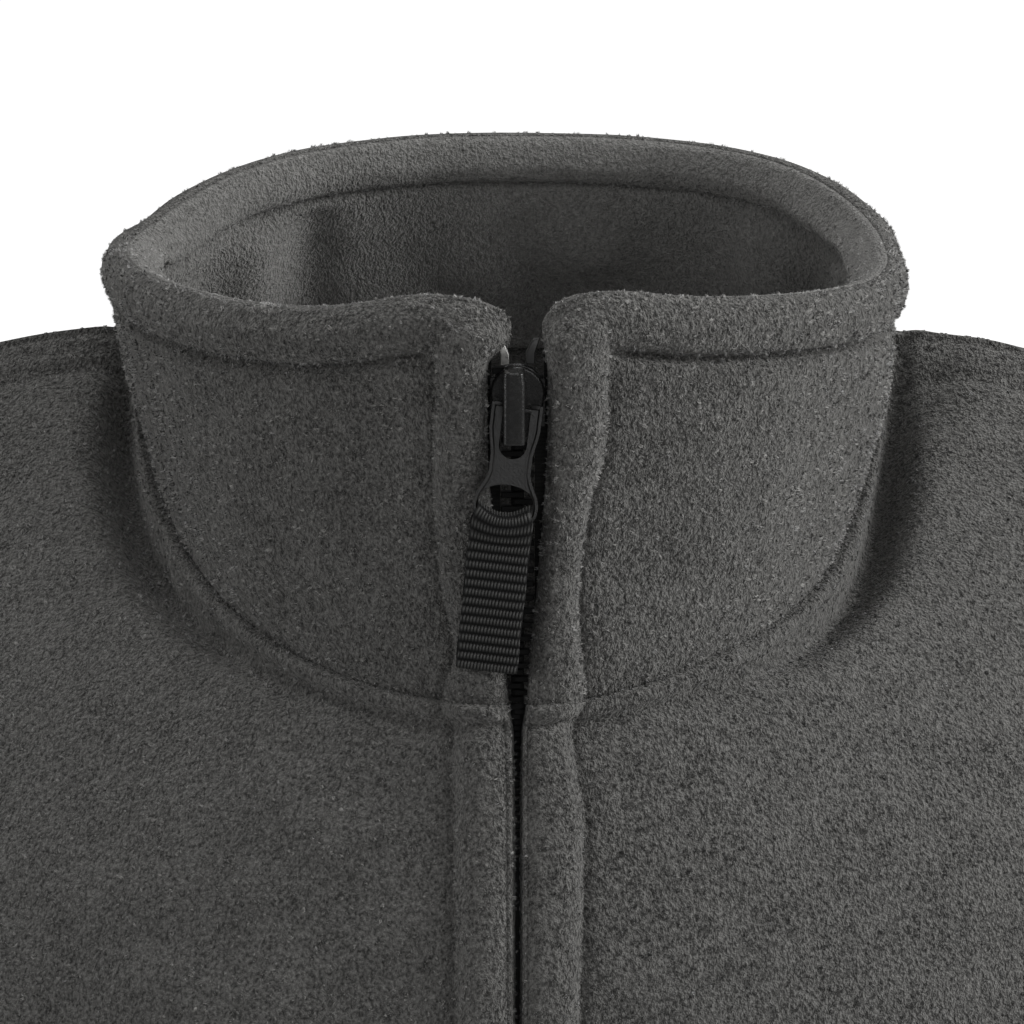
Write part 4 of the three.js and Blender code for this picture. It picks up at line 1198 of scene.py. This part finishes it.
# %% Shape the top stops
def top_stop(side, finish, name, node, lift):
    clip = box_at(side * 2.3, 63.2, lift, 1.7, 2.0, 2.4)
    pick(clip, lambda at, out: out.y > 0.9)
    pull_out(x=side * 0.6, y=1.5, size=(0.9, 1, 0.85))
    pull_out(x=side * 0.6, y=1.2, size=(0.75, 1, 0.8))
    round_edges(clip, 0.28)
    stand(clip, STAND, finish, "vest", "stop_metal", node)


top_stop(1, DARK_METAL, "stop_left", "top_stop_left", 0.1)
top_stop(-1, BRIGHT, "stop_right", "top_stop_right", 1.6)

# %% [markdown]
# ## Zip teeth
# The teeth are moulded plastic blocks with a rounded head, in two rows that mesh below the
# slider and part inside it. One tooth is modelled and then copied along the edge of each
# tape, half a pitch apart from side to side.

# %% Cast the teeth
PITCH = 2.5
TEETH = 276
tooth = box_at(1.0, 0, 0, 3.4, 1.05, 2.3)
pick(tooth, lambda at, out: out.x < -0.9)
pull_out(x=-0.7, size=(1, 1.3, 0.8))
round_edges(tooth, 0.16, 1)
tooth_points = np.array([tuple(c.co / MM) for c in tooth.data.vertices])
tooth_faces = [tuple(face.vertices) for face in tooth.data.polygons]
bpy.data.objects.remove(tooth)


def zip_line(v):
    """Middle of the zip at a height, with its directions up and out."""
    if v >= 1:
        out = collar_normal(0.0, v)
        here, above = (collar_plain(0.0, height) for height in (v, v + 0.5))
    else:
        level = -v / NECK_STEP if v > BEND_V else BEND_LEVEL + (BEND_V - v) / BODY_STEP
        level = float(np.clip(level, 0.03, 10.86))
        out = body_normal(0.0, level)
        here, above = (body_plain(0.0, at) + out * relief(0.0, at) for at in (level, level - 0.01))
    return here, unit(above - here), out


def lay_teeth():
    points, faces = [], []
    x, y, z = (tooth_points[:, k:k + 1] for k in range(3))
    for i in range(TEETH):
        for side in (-1, 1):
            v = 61 - (i + (0.5 if side > 0 else 0)) * PITCH
            here, up, out = zip_line(v)
            part = 1.6 * ease(49, 58, v) + 0.25
            placed = here + (x + part) * np.array((side, 0, 0)) + y * up + z * out
            start = len(points)
            points.extend((placed * MM).tolist())
            faces.extend(tuple(start + k for k in face[::side]) for face in tooth_faces)
    mesh = bpy.data.meshes.new("zip_teeth")
    mesh.from_pydata(points, [], faces)
    mesh.update()
    piece = add_piece(mesh, PLASTIC)
    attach(piece, "vest")
    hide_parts("zip_chain")
    print("teeth:", 2 * TEETH, "faces:", len(faces))


lay_teeth()

# %% [markdown]
# ## Webbing loop
# The webbing is a ribbed strip eleven millimetres wide. It passes through the eye of the tab
# and is folded on itself below. Ribs cross the strip, each a row of small twisted bumps, and
# every other row is offset by half a bump. Below the eye it hangs straight down.

# %% Weave the webbing loop
LOOP_PATH = np.array([
    [-46.4, 0.0], [-46.45, 0.35], [-46, 0.58], [-34, 0.58], [-24, 0.64], [-22, 1.2],
    [-20.6, 1.55], [-19.3, 1.25], [-18.8, 0.0], [-19.3, -1.25], [-20.6, -1.55], [-22, -1.2],
    [-24, -0.64], [-34, -0.58], [-46, -0.58], [-46.45, -0.35], [-46.4, 0.0],
])
RIB = 1.62


def webbing_loop():
    gone = np.concatenate([[0], np.cumsum(np.linalg.norm(np.diff(LOOP_PATH, axis=0), axis=1))])
    s = np.linspace(0, gone[-1], 430)
    y, z = read(s, gone, LOOP_PATH[:, 0]), read(s, gone, LOOP_PATH[:, 1])
    slope = unit(np.stack([np.gradient(y), np.gradient(z)], -1))
    out_y, out_z = -slope[:, 1], slope[:, 0]
    across = np.linspace(-1, 1, 75)
    row = np.floor(s / RIB)
    rib = np.abs(np.sin(math.pi * s / RIB)) ** 0.7
    bumps = np.abs(np.sin(math.pi * (across[None] * 9.2 + 0.5 * row[:, None])))
    height = 0.1 + 0.55 * rib[:, None] * (0.4 + 0.6 * bumps)
    height = height * np.sqrt(1 - 0.8 * np.abs(across[None]) ** 12)
    sides = []
    for depth in (height, np.full(height.shape, -0.3)):
        py = y[:, None] + out_y[:, None] * depth
        pz = z[:, None] + out_z[:, None] * depth
        below = -py - 19.6
        hang = np.maximum(0, below)
        px = 5.5 * mix(0.84, 1, ease(-0.5, 2.2, below)) * across[None]
        py = py + 2.0 * ease(7, -1, below) * across[None] ** 2
        uneven = 0.12 * np.sin(s[:, None] * 0.55) * np.abs(across[None])
        px = px - 0.35 + hang * math.tan(1.1 * RAD) + uneven
        sides.append(np.stack([px, py, pz - hang * math.tan(PULL_TILT * RAD)], -1))
    piece = shell("webbing", *sides, WEBBING, "pull_webbing", "zip_pull", "webbing")
    # Painted shade: the crests of the ribs are light, the grooves and the back of the strip black.
    tone = (rib[:, None] ** 3 * bumps ** 2).ravel()
    values = piece.data.attributes.new("tone", "FLOAT", "POINT").data
    values.foreach_set("value", np.concatenate([tone, 0 * tone]))
    piece.data.transform(HANG)
    return piece


WEBBING = Finish("ribbed_webbing", Specular_IOR_Level=0.12)
threads = WEBBING.noise(WEBBING.place(), 3500, 2.0, 0.6)
# The ribs' crests are painted light and their grooves dark: painted shade on top of the woven threads.
rib_shade = WEBBING.add("ShaderNodeAttribute", output="Fac", attribute_name="tone")
lit = rib_shade * (threads + 0.5)
WEBBING.set("Base Color", WEBBING.tint(lit, (0.001, 0.001, 0.001), (0.05, 0.05, 0.048)))
WEBBING.set("Roughness", threads * 0.2 + 0.42)
webbing = webbing_loop()

# %% [markdown]
# ## Floor
# A plain pale floor lies under the vest, and it isn't part of the vest. It glows with painted
# light: dim under and in front of the vest, brighter towards the back.

# %% Lay the floor
FLOOR_Z = -0.75
corners = [(x, y, FLOOR_Z) for x, y in ((-30, -30), (30, -30), (30, 60), (-30, 60))]
floor_mesh = bpy.data.meshes.new("floor")
floor_mesh.from_pydata(corners, [], [(0, 1, 2, 3)])
GLOWING_FLOOR = Finish("pale_floor", Base_Color=(0.42, 0.42, 0.42, 1), Roughness=0.9,
              Emission_Strength=1.0)
# The glow is painted light: the floor is no lamp, yet it emits, dim under the vest and brighter towards the
# back.
behind = GLOWING_FLOOR.add("ShaderNodeSeparateXYZ", {"Vector": GLOWING_FLOOR.place()}, "Y")
GLOWING_FLOOR.set("Emission Color", GLOWING_FLOOR.tint((behind * 0.9 - 0.35).clear(), (0.25, 0.25, 0.25), (1, 1, 1)))
floor = add_piece(floor_mesh, GLOWING_FLOOR)
print("floor at", FLOOR_Z)
